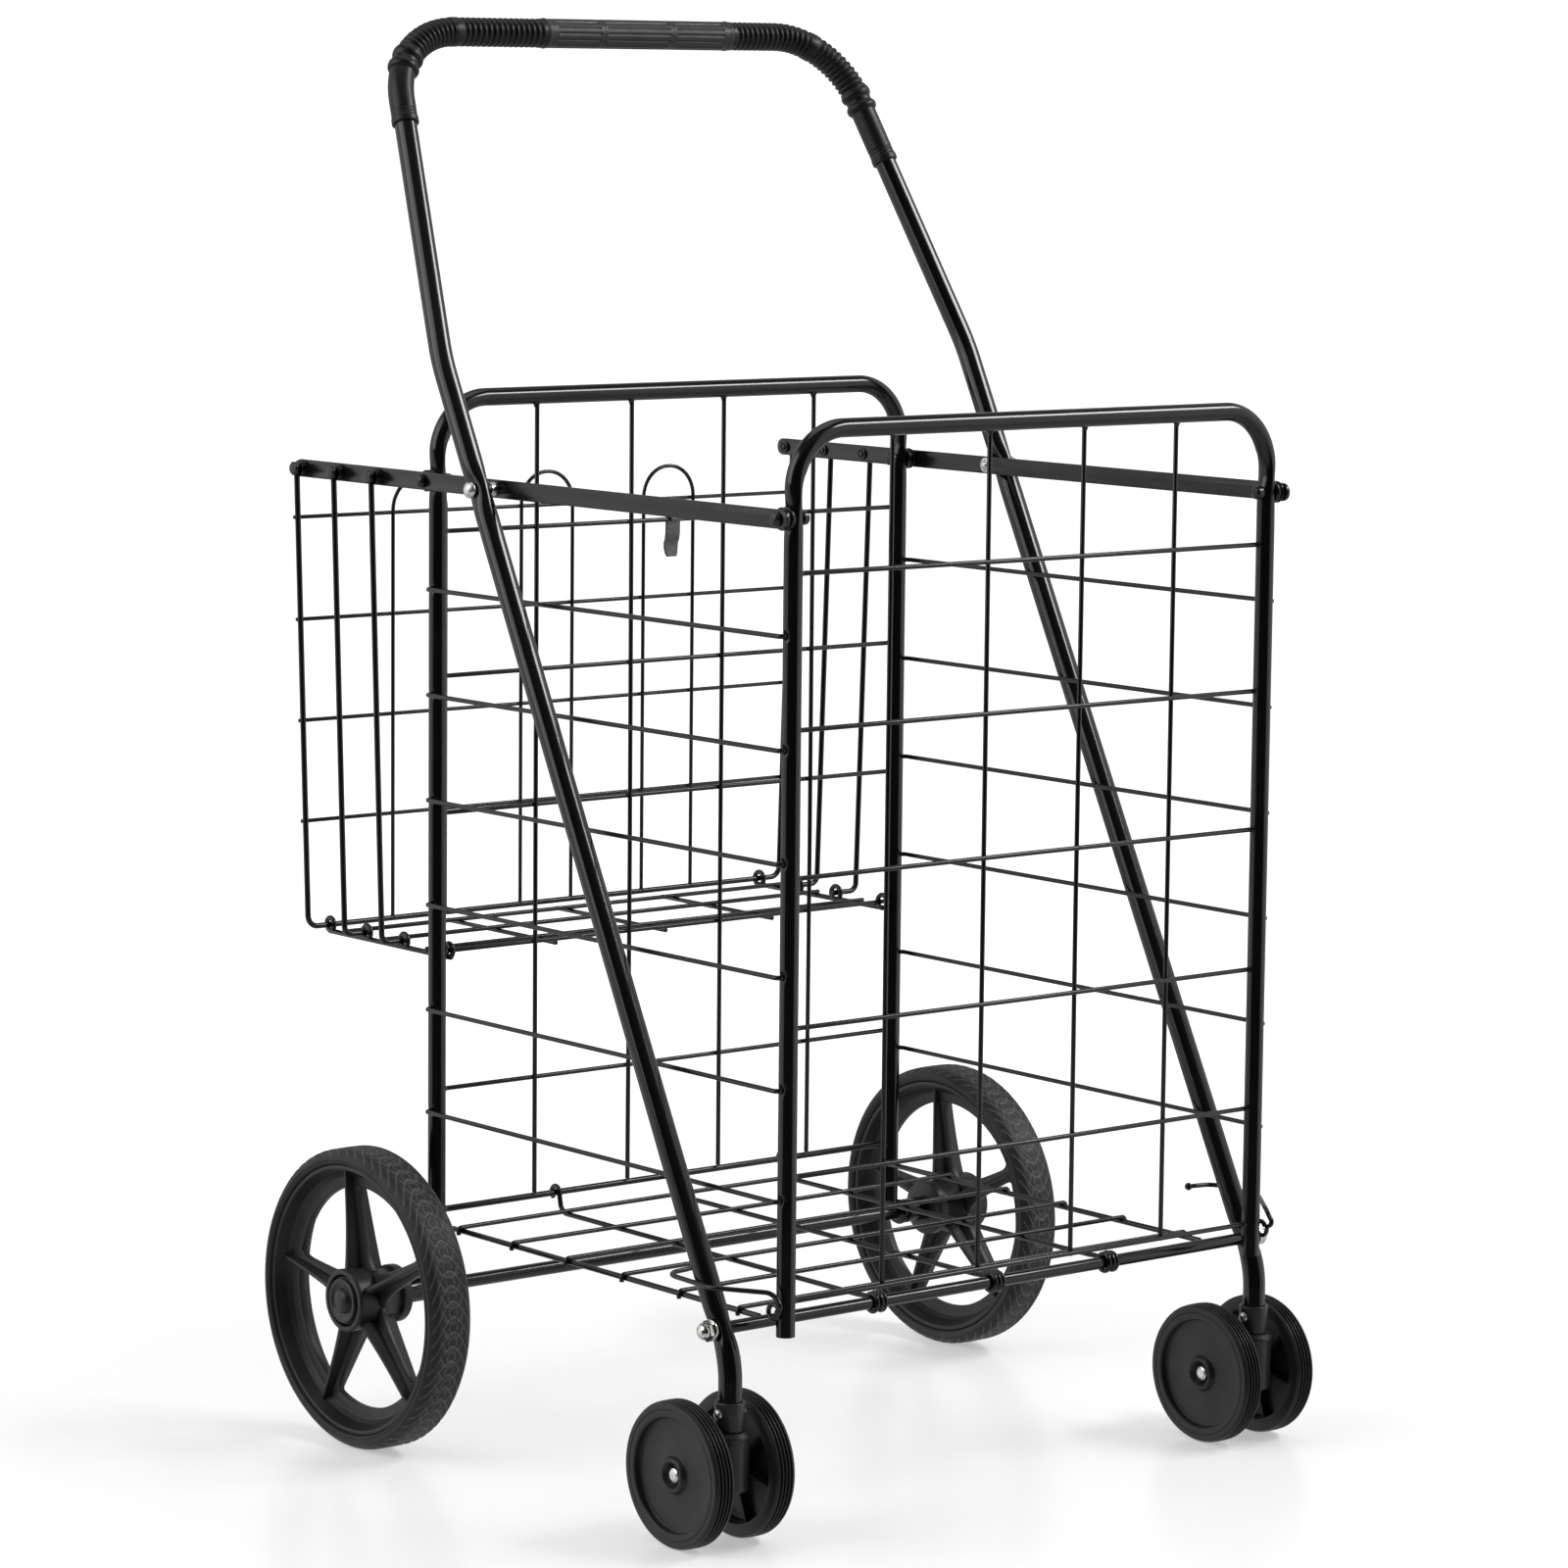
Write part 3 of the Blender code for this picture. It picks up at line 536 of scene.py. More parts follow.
def frame_piece(name, y, bottom, body):
    path = fillet([(-HX, y, bottom), (-HX, y, TOP_Z), (HX, y, TOP_Z), (HX, y, bottom)], 38.0, 22)
    spots = [(s * HX, y, z) for s in (-1, 1) for z in SIDE_Z]
    path = densify(path, spots, 6.0, 1.2)
    path = densify(path, [(s * HX, y, RAIL_Z) for s in (-1, 1)], 34.0, 2.0)
    tube = pipe(path, 6.0, 4.8, 32, normal=Y)
    plugs = [lathe((s * HX, y, 0), Z, prof([(bottom + 2.5, 0.0), (bottom + 2.5, 4.2),
             (bottom + 6.0, 4.78), (bottom + 8.0, 4.0), (bottom + 8.0, 0.0)], 0.3, 2), 20)
             for s in (-1, 1)]
    piece(name + "_shell", [tube], TUBE, body, [name], warp=frame_warp(y))
    piece(name + "_end_plugs", plugs, NYLON, body)


def panel_piece(name, y, inner, levels, low, body):
    parts = []
    for x in PANEL_X:
        foot = low - 2.0
        sway = 0.35 * math.sin(x * 0.11)
        parts.append(wire([(x, y + inner * 2.4, foot), (x + sway, y + inner * 2.4, 380.0),
                           (x, y + inner * 2.0, TOP_Z - 5.0)], R_WIRE))
        parts.append(weld((x, y + inner * 1.4, TOP_Z - 5.4), -Z, R_WIRE, 0.75))
        for z in levels:
            parts.append(blob((x, y + inner * 1.1, z), 1.9, 1.9, 1.75))
    for z in levels:
        bow = 0.4 * math.sin(z * 0.05)
        parts.append(wire([(-195.6, y, z), (0, y, z + bow), (195.6, y, z)], R_WIRE))
        for s in (-1, 1):
            parts.append(weld((s * 194.6, y, z), X * -s, R_WIRE, 0.8))
    piece(name + "_mesh", parts, WIRE, body, [name])


frame_piece("rear_frame_tube", Y_REAR, 106.0, "rear_frame")
frame_piece("front_frame_tube", 0.0, 135.5, "front_frame")
panel_piece("rear_wire_panel", Y_REAR, -1.0, PANEL_Z, ROD_Z + 4.9, "rear_frame")
panel_piece("front_wire_panel", 0.0, 1.0, PANEL_Z + (FOOT_Z,), FOOT_Z, "front_frame")

piece("hinge_rod", [wire([(-195.4, Y_REAR, ROD_Z), (195.4, Y_REAR, ROD_Z)], 2.2, 14),
      weld((-194.5, Y_REAR, ROD_Z), X, 2.2, 0.8), weld((194.5, Y_REAR, ROD_Z), -X, 2.2, 0.8)],
      WIRE, "rear_frame", ["floor_hinge_rod"])

# spring clip: bent strip with rolled lip, rounded corners
clip_line = [(Y_REAR + 3.15 * math.cos(math.radians(a)), PANEL_Z[0] + 3.15 * math.sin(math.radians(a)))
             for a in np.linspace(205, 0, 22)]
clip_line += [(Y_REAR + a, PANEL_Z[0] + b) for a, b in
              ((3.15, -5.0), (3.2, -10.0), (3.9, -14.0), (5.2, -17.0), (5.35, -20.0),
               (4.7, -24.0), (4.2, -26.4))]
sections = []
for i, (yy, zz) in enumerate(clip_line):
    a = clip_line[max(i - 1, 0)]
    b = clip_line[min(i + 1, len(clip_line) - 1)]
    d = Vector((0, b[0] - a[0], b[1] - a[1])).normalized()
    n = Vector((0, -d.z, d.y))
    half = 6.3
    tail = len(clip_line) - 1 - i
    if tail < 3:
        half -= (3 - tail) ** 2 * 0.22
    if i < 2:
        half -= (2 - i) * 0.5
    c = Vector((0, yy, zz))
    ring = []
    for k in range(16):
        t = 2 * math.pi * k / 16
        cx = math.copysign(abs(math.cos(t)) ** 0.22, math.cos(t)) * half
        cn = math.copysign(abs(math.sin(t)) ** 0.55, math.sin(t)) * 0.6
        ring.append(c + X * cx + n * cn)
    sections.append(ring)
piece("rear_clip_strip", [loft(sections)], SPRING, "rear_frame", ["rear_clip"])

# ---------------------------------------------------------------------------
# Rear axle and wheels
# ---------------------------------------------------------------------------
axle = prof([(-272.0, 0.0), (-272.0, 4.6), (-230.8, 4.6), (-230.8, 8.5), (-207.0, 8.5),
             (-206.4, 4.6), (206.4, 4.6), (207.0, 8.5), (230.8, 8.5), (230.8, 4.6),
             (272.0, 4.6), (272.0, 0.0)], [0, 0.6, 0.1, 0.8, 0.8, 0.3, 0.3, 0.8, 0.8, 0.1, 0.6, 0], 3)
piece("rear_axle_rod", [lathe((0, Y_REAR, AXLE_Z), X, axle, 32)]
      + [lathe((0, Y_REAR, AXLE_Z), X, prof([(s * 205.0, 5.2), (s * 205.0, 7.2), (s * 207.4, 7.9),
         (s * 208.4, 8.9), (s * 210.0, 8.9), (s * 210.4, 8.3)], 0.3, 2), 32) for s in (-1, 1)],
      TUBE, "rear_frame", ["rear_axle"])


def tread(a, v):
    """Height change of the tyre tread at angle a, v from -1 inboard to 1 out."""
    n = 62
    av = abs(v)
    turns = a * n / (2 * math.pi)
    curve = 2.1 * av ** 1.6
    p1 = (turns + curve) % 1.0
    p2 = (turns - curve + 0.5) % 1.0
    line1 = math.exp(-(min(p1, 1 - p1) / 0.070) ** 2)
    line2 = math.exp(-(min(p2, 1 - p2) / 0.060) ** 2) if 0.12 < av < 0.62 else 0.0
    zig = 0.13 + 0.07 * (1 if turns % 1.0 < 0.5 else -1)
    groove = math.exp(-((av - zig) / 0.030) ** 2)
    q = (turns + 0.45) % 1.0
    hook = math.exp(-((av - 0.44) / 0.028) ** 2) if 0.2 < q < 0.62 else 0.0
    stem = math.exp(-((q - 0.2) / 0.05) ** 2) if 0.30 < av < 0.45 else 0.0
    fade = 1.0 if av < 0.93 else max(0.0, 1 - (av - 0.93) / 0.07)
    cut = max(0.95 * line1, 0.75 * line2, 0.75 * groove, 0.55 * hook, 0.5 * stem)
    return -0.55 * cut * fade


for side, s in SIDES:
    at = (0.0, Y_REAR, AXLE_Z)
    out = X * s
    body = f"rear_wheel_{side}"
    mid, half = 258.0, 15.4
    rows = []
    inner_side = [(244.8, 90.9), (243.2, 91.3), (242.2, 92.6), (241.7, 94.4), (241.7, 96.4)]
    outer_side = [(274.1, 96.4), (274.3, 95.2), (274.35, 93.9), (273.7, 93.5), (273.7, 92.9),
                  (274.35, 92.5), (274.2, 91.9), (273.6, 91.2), (272.4, 90.9)]
    rows += inner_side
    crown = []
    steps = 64
    for k in range(steps + 1):
        v = -1 + 2 * k / steps
        t = mid + half * (v if abs(v) < 0.8 else math.copysign(0.8 + (abs(v) - 0.8) * 0.94, v))
        drop = 0.5 * v * v + (3.3 * ((abs(v) - 0.62) / 0.38) ** 2.4 if abs(v) > 0.62 else 0)
        crown.append((t, 101.0 - drop, v))
    first = len(rows)
    rows += [(t, r) for t, r, v in crown]
    rows += outer_side
    rows += [(268.0, 89.6), (258.0, 89.2), (248.0, 89.6)]

    def shape(a, i, t, r):
        if first <= i < first + steps + 1:
            return t, r + tread(a, crown[i - first][2])
        return t, r

    piece(f"rear_tyre_{side}_tread", [lathe(at, out, rows, 1178, ring=True, shape=shape)],
          TYRE, body, [f"rear_tyre_{side}"], angle=60)
    # painted highlight mask: per-vertex strength of the pale tread-line colour, 1 along the tread cuts on the running
    # surface
    tyre = OBJECTS[f"rear_tyre_{side}_tread"].data
    flat = np.empty(len(tyre.vertices) * 3, np.float32)
    tyre.vertices.foreach_get("co", flat)
    flat = flat.reshape(-1, 3) / MM
    spin = np.arctan2((flat[:, 1] + Y0 - Y_REAR) * -s, flat[:, 2] - AXLE_Z)
    across_v = (np.abs(flat[:, 0]) - mid) / half
    radius = np.hypot(flat[:, 1] + Y0 - Y_REAR, flat[:, 2] - AXLE_Z)
    marks = [(-tread(a, v) / 0.55 if rr > 94.5 and abs(v) <= 1 else 0.0)
             for a, v, rr in zip(spin.tolist(), across_v.tolist(), radius.tolist())]
    attribute = tyre.attributes.new("tread_highlight", "FLOAT", "POINT")
    attribute.data.foreach_set("value", np.array(marks, np.float32))

    # the rim flares away on both sides of the plate that carries the spokes
    rim_line = fillet([Vector(p + (0,)) for p in (
        (243.8, 90.6), (272.2, 90.6), (272.6, 87.8), (270.2, 86.9), (264.4, 84.6), (260.9, 81.6),
        (260.5, 74.4), (255.5, 74.4), (255.1, 81.6), (251.6, 84.6), (245.8, 86.9), (243.4, 87.8))],
        [0.6, 0.7, 1.1, 2.0, 4.5, 1.5, 0.9, 0.9, 1.5, 4.5, 2.0, 1.1], 5, closed=True)
    rim = lathe(at, out, [(p.x, p.y) for p in rim_line], 144, ring=True)
    hub_line = fillet([Vector(p + (0,)) for p in (
        (231.2, 5.2), (231.2, 13.0), (232.6, 19.4), (239.6, 19.6), (241.4, 16.6), (248.0, 18.6), (254.0, 20.6),
        (275.0, 21.2), (276.6, 20.4), (276.7, 17.7), (275.6, 17.2), (270.5, 17.0), (270.5, 5.2))],
        [0.4, 1.0, 1.6, 1.6, 1.5, 3.0, 4.0, 0.9, 0.8, 0.5, 0.3, 0.3, 0.3], 4, closed=True)
    hub = lathe(at, out, [(p.x, p.y) for p in hub_line], 64, ring=True)
    parts = [rim, hub]
    for k in range(5):
        turn = math.radians(81.6 + 72.0 * k)
        radial = Vector((0.0, math.cos(turn), math.sin(turn)))
        across = Vector((0.0, -math.sin(turn), math.cos(turn)))
        base = Vector(at)
        secs = []
        for j in range(41):
            q = j / 40
            r = 12.0 + (86.6 - 12.0) * q
            flare = 5.5 * math.exp(-((r - 18.0) / 7.0)) if r > 18.0 else 5.5
            flare += 4.2 * math.exp(-((74.4 - r) / 2.6)) if r < 74.4 else 4.2
            w = min(7.9 - 4.2 * q + flare, 0.70 * r)
            lo, hi = 255.7, 260.3
            rib = 1.55 - 0.25 * q + 1.1 * math.exp(-((r - 12.0) / 11.0))
            ridge = 273.0 - 6.4 * q - 1.2 * math.sin(math.pi * q)
            back = 243.4 + 8.8 * q
            # a plate in the middle of the wheel, with a rib on both of its sides
            quarter = [(w, 0.5), (w, hi - 259.3), (w - 0.35, hi - 258.25), (w - 1.1, hi - 258.0),
                       (rib + 2.2, hi - 257.9), (rib + 0.9, hi - 257.3), (rib + 0.3, hi - 255.6)]
            pts2 = [(e, 258.0 + d) for e, d in quarter]
            pts2 += [(rib, ridge - 0.8), (rib - 0.25, ridge - 0.22), (rib - 0.75, ridge),
                     (-rib + 0.75, ridge), (-rib + 0.25, ridge - 0.22), (-rib, ridge - 0.8)]
            pts2 += [(-e, 258.0 + d) for e, d in reversed(quarter)]
            pts2 += [(-e, 258.0 - d) for e, d in quarter]
            pts2 += [(-rib, back + 0.8), (-rib + 0.25, back + 0.22), (-rib + 0.75, back),
                     (rib - 0.75, back), (rib - 0.25, back + 0.22), (rib, back + 0.8)]
            pts2 += [(e, 258.0 - d) for e, d in reversed(quarter)]
            secs.append([base + out * d + radial * r + across * e for e, d in pts2])
        parts.append(loft(secs))
    piece(f"rear_rim_{side}_moulding", parts, RIM, body, [f"rear_rim_{side}"], angle=44)
    cap = prof([(270.8, 0.0), (270.8, 16.5), (274.6, 16.3), (275.4, 15.6), (275.4, 15.2), (277.4, 14.9),
                (277.9, 14.2), (277.7, 12.4), (276.4, 10.2), (276.0, 8.7), (276.9, 8.3), (278.9, 7.0),
                (280.1, 4.2), (280.5, 0.0)],
               [0, 0.3, 0.4, 0.2, 0.1, 0.5, 0.5, 0.9, 1.2, 0.5, 0.6, 1.6, 2.2, 0], 4)
    piece(f"rear_hub_cap_{side}_face", [lathe(at, out, cap, 64)], HUB, body,
          [f"rear_hub_cap_{side}"], angle=50)

# ---------------------------------------------------------------------------
# Flat rails, pivots, spacers
# ---------------------------------------------------------------------------
for side, s in SIDES:
    half = RAIL_H / 2
    def rail_ring(x, inset):
        pts = []
        for cy, lo, hi in ((RAIL_REAR - half, -90, 90), (RAIL_FRONT + half, 90, 270)):
            for k in range(17):
                a = math.radians(lo + (hi - lo) * k / 16)
                pts.append(Vector((x, cy + (half - inset) * math.cos(a),
                                   RAIL_Z + (half - inset) * math.sin(a))))
        return pts
    xa, xb = s * RAIL_IN, s * RAIL_OUT
    rings = [rail_ring(xa, 0.75), rail_ring(xa + s * 0.12, 0.35), rail_ring(xa + s * 0.4, 0.08),
             rail_ring(xa + s * 0.8, 0.0), rail_ring(xb - s * 0.8, 0.0), rail_ring(xb - s * 0.4, 0.08),
             rail_ring(xb - s * 0.12, 0.35), rail_ring(xb, 0.75)]
    piece(f"side_rail_{side}_bar", [loft(rings)], RAIL, "top_rails",
          [f"side_rail_{side}"], angle=30)

    # nylon spool between leg and rail, dull bolt through both
    for where, y, body in (("rear", Y_REAR, "rear_frame"), ("front", 0.0, "front_frame")):
        at = (0.0, y, RAIL_Z)
        bolt = prof([(189.2, 0.0), (189.4, 2.6), (190.6, 4.3), (194.4, 4.6), (195.4, 2.5),
                     (213.2, 2.5), (213.2, 4.5), (214.6, 4.8), (216.2, 4.2), (217.2, 2.6), (217.6, 0.0)],
                    [0, 0.6, 0.8, 0.5, 0.2, 0.1, 0.4, 0.8, 1.2, 1.2, 0], 4)
        spool = prof([(203.6, 2.55), (203.6, 6.8), (205.2, 7.4), (206.5, 7.3), (207.1, 5.4), (208.0, 5.4),
                      (208.5, 7.3), (209.95, 7.2), (209.95, 2.55)],
                     [0, 0.8, 0.8, 0.6, 0.5, 0.5, 0.6, 0.5, 0], 4)
        piece(f"{where}_pivot_bolt_{side}_head", [lathe(at, X * s, bolt, 32)], DULL, body,
              [f"{where}_pivot_bolt_{side}"], angle=50)
        piece(f"{where}_pivot_spacer_{side}", [lathe(at, X * s, spool, 32, ring=True)], NYLON, body,
              angle=50)

    at = (0.0, HANDLE_Y, RAIL_Z)
    screw = prof([(207.0, 0.0), (207.4, 1.8), (208.6, 3.3), (209.2, 3.7), (209.4, 5.2), (210.0, 5.2),
                  (210.0, 2.5), (213.2, 2.5), (213.2, 4.6), (218.6, 4.6), (219.8, 2.5), (232.4, 2.5),
                  (232.0, 5.0), (233.4, 5.6), (235.2, 4.9), (236.6, 3.0), (237.2, 0.0)],
                 [0, 0.6, 0.6, 0.3, 0.2, 0.2, 0.1, 0.1, 0.4, 0.4, 0.2, 0.1, 0.4, 1.0, 1.4, 1.4, 0], 4)
    piece(f"handle_pivot_bolt_{side}_rivet", [lathe(at, X * s, screw, 40)], ZINC, "handle",
          [f"handle_pivot_bolt_{side}"], angle=50)

    # black bushings and rivets where the small basket hangs on the rail
    bushes = []
    for n, y in enumerate(HOOK_Y):
        g = prof([(213.1, 2.3), (213.1, 5.9), (214.0, 6.0), (214.3, 4.8), (214.9, 4.8), (215.1, 5.7),
                  (216.3, 5.6), (216.3, 2.3)], [0, 0.3, 0.4, 0.2, 0.2, 0.4, 0.4, 0], 3)
        bushes.append(lathe((0.0, y, RAIL_Z), X * s, g, 32, ring=True))
        h = prof([(208.3, 0.0), (208.3, 1.5), (209.6, 1.7), (209.7, 2.6), (208.8, 3.2), (208.8, 4.1),
                  (210.1, 4.5), (210.1, 2.1), (219.0, 2.1), (219.2, 4.6), (220.4, 4.8), (221.3, 3.8),
                  (221.8, 0.0)], [0, 0.3, 0.1, 0.1, 0.3, 0.4, 0.2, 0.1, 0.1, 0.4, 0.8, 1.0, 0], 4)
        body = ("small_basket_front", "small_basket_links_1", "small_basket_links_2")[n]
        piece(f"hook_rivet_{n + 1}_{side}", [lathe((0.0, y, RAIL_Z), X * s, h, 32)], DULL, body,
              angle=50)
    piece(f"hook_bushings_{side}", bushes, NYLON, "top_rails", angle=50)

# ---------------------------------------------------------------------------
# Side wires
# ---------------------------------------------------------------------------
for number, z in enumerate(SIDE_Z, 1):
    for side, s in SIDES:
        path = fillet([(s * 202.6, Y_REAR, z), (s * SIDE_X, Y_REAR, z), (s * SIDE_X, 0.0, z),
                       (s * 202.6, 0.0, z)], 3.4, 9)
        piece(f"side_wire_{number}_{side}_rod", [wire(path, R_WIRE, 12, normal=Z)], WIRE,
              f"side_wires_{number}", [f"side_wire_{number}_{side}"])

# ---------------------------------------------------------------------------
# Small basket
# ---------------------------------------------------------------------------
wall_y = HOOK_Y[0]
hanger = fillet([(-208.4, wall_y, RAIL_Z), (-217.6, wall_y, RAIL_Z), (-208.6, wall_y, BASKET_Z),
                 (208.6, wall_y, BASKET_Z), (217.6, wall_y, RAIL_Z), (208.4, wall_y, RAIL_Z)],
                [0, 3.6, 8.0, 8.0, 3.6, 0], 9)
parts = [wire(hanger, 2.0, 12, normal=Y)]
loop_x = []
for centre in (-115.4, -5.4, 103.0):
    loop = fillet([(centre - 22.4, wall_y, BASKET_Z), (centre - 22.4, wall_y, 635.0),
                   (centre + 22.4, wall_y, 635.0), (centre + 22.4, wall_y, BASKET_Z)], 21.8, 16)
    parts.append(wire(loop, 1.4, 10, normal=Y))
    loop_x += [centre - 22.4, centre + 22.4]
for z in (611.6, 541.6, 472.0, 402.4):
    reach = 208.6 + 9.0 * (z - BASKET_Z) / (RAIL_Z - BASKET_Z) + 2.2
    parts.append(wire([(-reach, wall_y + 2.1, z), (0, wall_y + 2.1, z - 0.3), (reach, wall_y + 2.1, z)], 1.4, 10))
    for x in loop_x + [-(reach - 2.2), reach - 2.2]:
        parts.append(blob((x, wall_y + 1.0, z), 1.75, 1.8, 1.6))
for x in loop_x:
    parts.append(blob((x, wall_y, BASKET_Z + 0.6), 1.9, 2.1, 2.2))
piece("small_basket_wall_mesh", parts, WIRE, "small_basket_front", ["small_basket_wall"])

for number, y in ((1, HOOK_Y[1]), (2, HOOK_Y[2])):
    for side, s in SIDES:
        path = fillet([(s * 208.4, y, RAIL_Z), (s * 217.6, y, RAIL_Z), (s * 208.6, y, BASKET_Z),
                       (s * 186.0, y, BASKET_Z)], [0, 3.6, 6.0, 0], 9)
        piece(f"small_basket_link_{number}_{side}_rod", [wire(path, 2.0, 12, normal=Y)], WIRE,
              f"small_basket_links_{number}", [f"small_basket_link_{number}_{side}"])

low = BASKET_Z - 4.5
parts = []
for s in (-1.0, 1.0):
    for y in HOOK_Y + (Y_REAR,):
        circle = []
        for k in range(25):
            a = math.radians(-118.0 + 350.0 * k / 24)
            circle.append((s * (BASKET_X + 1.2 * (k / 24) - 0.6), y + 4.7 * math.cos(a),
                           BASKET_Z + 4.7 * math.sin(a)))
        parts.append(wire(circle, 1.8, 10, normal=X))
    parts.append(wire([(s * BASKET_X, Y_REAR - 1.5, low), (s * BASKET_X, HOOK_Y[0] + 1.5, low)], 1.9, 12))
for x in (-95.0, 0.0, 95.0):
    parts.append(wire([(x, Y_REAR + 7.0, low), (x, HOOK_Y[0] - 6.0, low)], R_WIRE, 10))
for y in (Y_REAR + 24.0, Y_REAR + 74.0, Y_REAR + 118.0):
    parts.append(wire([(-192.4, y, low + 2.6), (192.4, y, low + 2.6)], R_WIRE, 10))
    for x in (-190.0, -95.0, 0.0, 95.0, 190.0):
        parts.append(blob((x, y, low + 1.4), 1.8, 1.8, 1.9))
piece("small_basket_floor_mesh", parts, WIRE, "small_basket_bottom", ["small_basket_floor"])

# ---------------------------------------------------------------------------
# Main floor
# ---------------------------------------------------------------------------
parts = []
for x in (-100.0, 0.0, 100.0):
    path = []
    for k in range(19):
        a = math.radians(235.0 - k * (219.0 / 18))
        path.append((x, CROSS_Y + 5.9 * math.cos(a), CROSS_Z + 5.9 * math.sin(a)))
    path.append((x, CROSS_Y + 12.0, FLOOR_Z + 0.4))
    path.append((x, CROSS_Y + 18.0, FLOOR_Z))
    path.append((x, Y_REAR - 12.0, FLOOR_Z))
    path.append((x, Y_REAR - 8.6, FLOOR_Z + 1.2))
    path.append((x, Y_REAR - 6.0, FLOOR_Z + 4.4))
    for k in range(21):
        a = math.radians(190.0 - k * (250.0 / 20))
        path.append((x, Y_REAR + 4.3 * math.cos(a), ROD_Z + 4.3 * math.sin(a)))
    parts.append(wire(path, 1.75, 12, normal=X))
    # coiled ears of the hooks round the cross rod
    for e in (-3.3, 3.3):
        ring = [(x + e, CROSS_Y + 5.7 * math.cos(math.radians(a)), CROSS_Z + 5.7 * math.sin(math.radians(a)))
                for a in range(0, 360, 15)]
        parts.append(wire(ring, 1.6, 10, closed=True, normal=X))
for s in (-1.0, 1.0):
    edge = fillet([(s * BASKET_X, CROSS_Y + 6.2, FLOOR_Z), (s * BASKET_X, Y_REAR - 5.0, FLOOR_Z)], 0)
    parts.append(wire(edge, 1.9, 12))
for y in (56.0, 116.0, 176.0, 236.0, 296.0, 356.0):
    bow = -0.5 * math.sin(y)
    slat = fillet([(-193.2, y, FLOOR_Z - 2.4), (-193.2, y, FLOOR_Z + 2.6), (0, y, FLOOR_Z + 2.6 + bow),
                   (193.2, y, FLOOR_Z + 2.6), (193.2, y, FLOOR_Z - 2.4)], [0, 2.6, 60, 2.6, 0], 6)
    parts.append(wire(slat, R_WIRE, 12, normal=Y))
    for x in (-100.0, 0.0, 100.0):
        parts.append(blob((x, y, FLOOR_Z + 1.3), 1.85, 1.85, 1.9))
piece("floor_panel_mesh", parts, WIRE, "basket_floor", ["floor_panel"])

# ---------------------------------------------------------------------------
# Handle
# ---------------------------------------------------------------------------
slope = Vector((0.0, math.sin(LEAN), math.cos(LEAN)))
pivot = Vector((0.0, HANDLE_Y, RAIL_Z))


def on_handle(x, w):
    return Vector((x, 0.0, 0.0)) + pivot + slope * w


bend_z = RAIL_Z - (HANDLE_Y - CASTER_Y) / math.tan(LEAN)
handle_path = fillet(
    [(-HANDLE_X, CASTER_Y, 85.0), (-HANDLE_X, CASTER_Y, bend_z), on_handle(-226.0, 92.0),
     on_handle(-190.0, 331.0), on_handle(190.0, 331.0), on_handle(226.0, 92.0),
     (HANDLE_X, CASTER_Y, bend_z), (HANDLE_X, CASTER_Y, 85.0)],
    [0, 58.0, 160.0, 60.0, 60.0, 160.0, 58.0, 0], [0, 18, 14, 28, 28, 14, 18, 0])
spots = [(s * HANDLE_X, HANDLE_Y, RAIL_Z) for s in (-1, 1)]
handle_path = densify(handle_path, spots, 26.0, 2.0)
cross_spots = [(s * HANDLE_X, CROSS_Y, CROSS_Z) for s in (-1, 1)]
handle_path = densify(handle_path, cross_spots, 24.0, 2.0)


def handle_warp(v):
    s = 1.0 if v.x > 0 else -1.0
    dx = abs(v.x) - HANDLE_X
    if abs(dx) > 9:
        return v
    w = (v - Vector((v.x, HANDLE_Y, RAIL_Z))).dot(slope)
    k = math.exp(-(w / 10.0) ** 2)
    if k > 0.01:
        f = dx / 7.5
        side_dir = Vector((0.0, slope.z, -slope.y))
        off = (v - Vector((v.x, HANDLE_Y, RAIL_Z))).dot(side_dir)
        v = Vector((v.x - s * 2.1 * k * f, v.y, v.z)) + side_dir * (off * 0.12 * k)
    d = math.hypot(v.y - CROSS_Y, v.z - CROSS_Z)
    if d < 24:
        v = Vector((v.x - s * 2.2 * (dx / 7.5) * math.exp(-(d / 9.5) ** 2), v.y, v.z))
    return v


piece("handle_tube_shell", [pipe(handle_path, 7.5, 6.2, 36)], TUBE, "handle",
      ["handle_tube"], warp=handle_warp)

fine = fillet([on_handle(-226.0, 92.0), on_handle(-190.0, 331.0), on_handle(190.0, 331.0),
               on_handle(226.0, 92.0)], [0, 60.0, 60.0, 0], 60)
lengths = [0.0]
for a, b in zip(fine, fine[1:]):
    lengths.append(lengths[-1] + (b - a).length)
MIDDLE = lengths[-1] / 2


def along(s):
    s += MIDDLE
    for i in range(len(fine) - 1):
        if s <= lengths[i + 1] or i == len(fine) - 2:
            f = (s - lengths[i]) / (lengths[i + 1] - lengths[i])
            return fine[i].lerp(fine[i + 1], f)


def sleeve(stations, radius, bore=7.7, sides=40):
    pts = [along(s) for s in stations]
    return pipe(pts, lambda i, a: radius(stations[i], a), bore, sides)


# middle grip: three ribbed panels between plain bands
PANELS = ((-58.0, -20.5), (-16.0, 39.5), (44.0, 87.0))


def centre_radius(s, a):
    r = 9.95
    for lo, hi in PANELS:
        if lo <= s <= hi:
            edge = min(1.0, (s - lo) / 1.4, (hi - s) / 1.4)
            ph = (a * 14 / (2 * math.pi)) % 1.0 - 0.5
            r -= 0.75 * edge * math.exp(-(ph / 0.17) ** 4)
    for ring in (-64.2, 93.2):
        r += 0.45 * math.exp(-((s - ring) / 1.1) ** 2)
    for ring in (-18.2, 41.7):
        r -= 0.22 * math.exp(-((s - ring) / 0.5) ** 2)
    return r


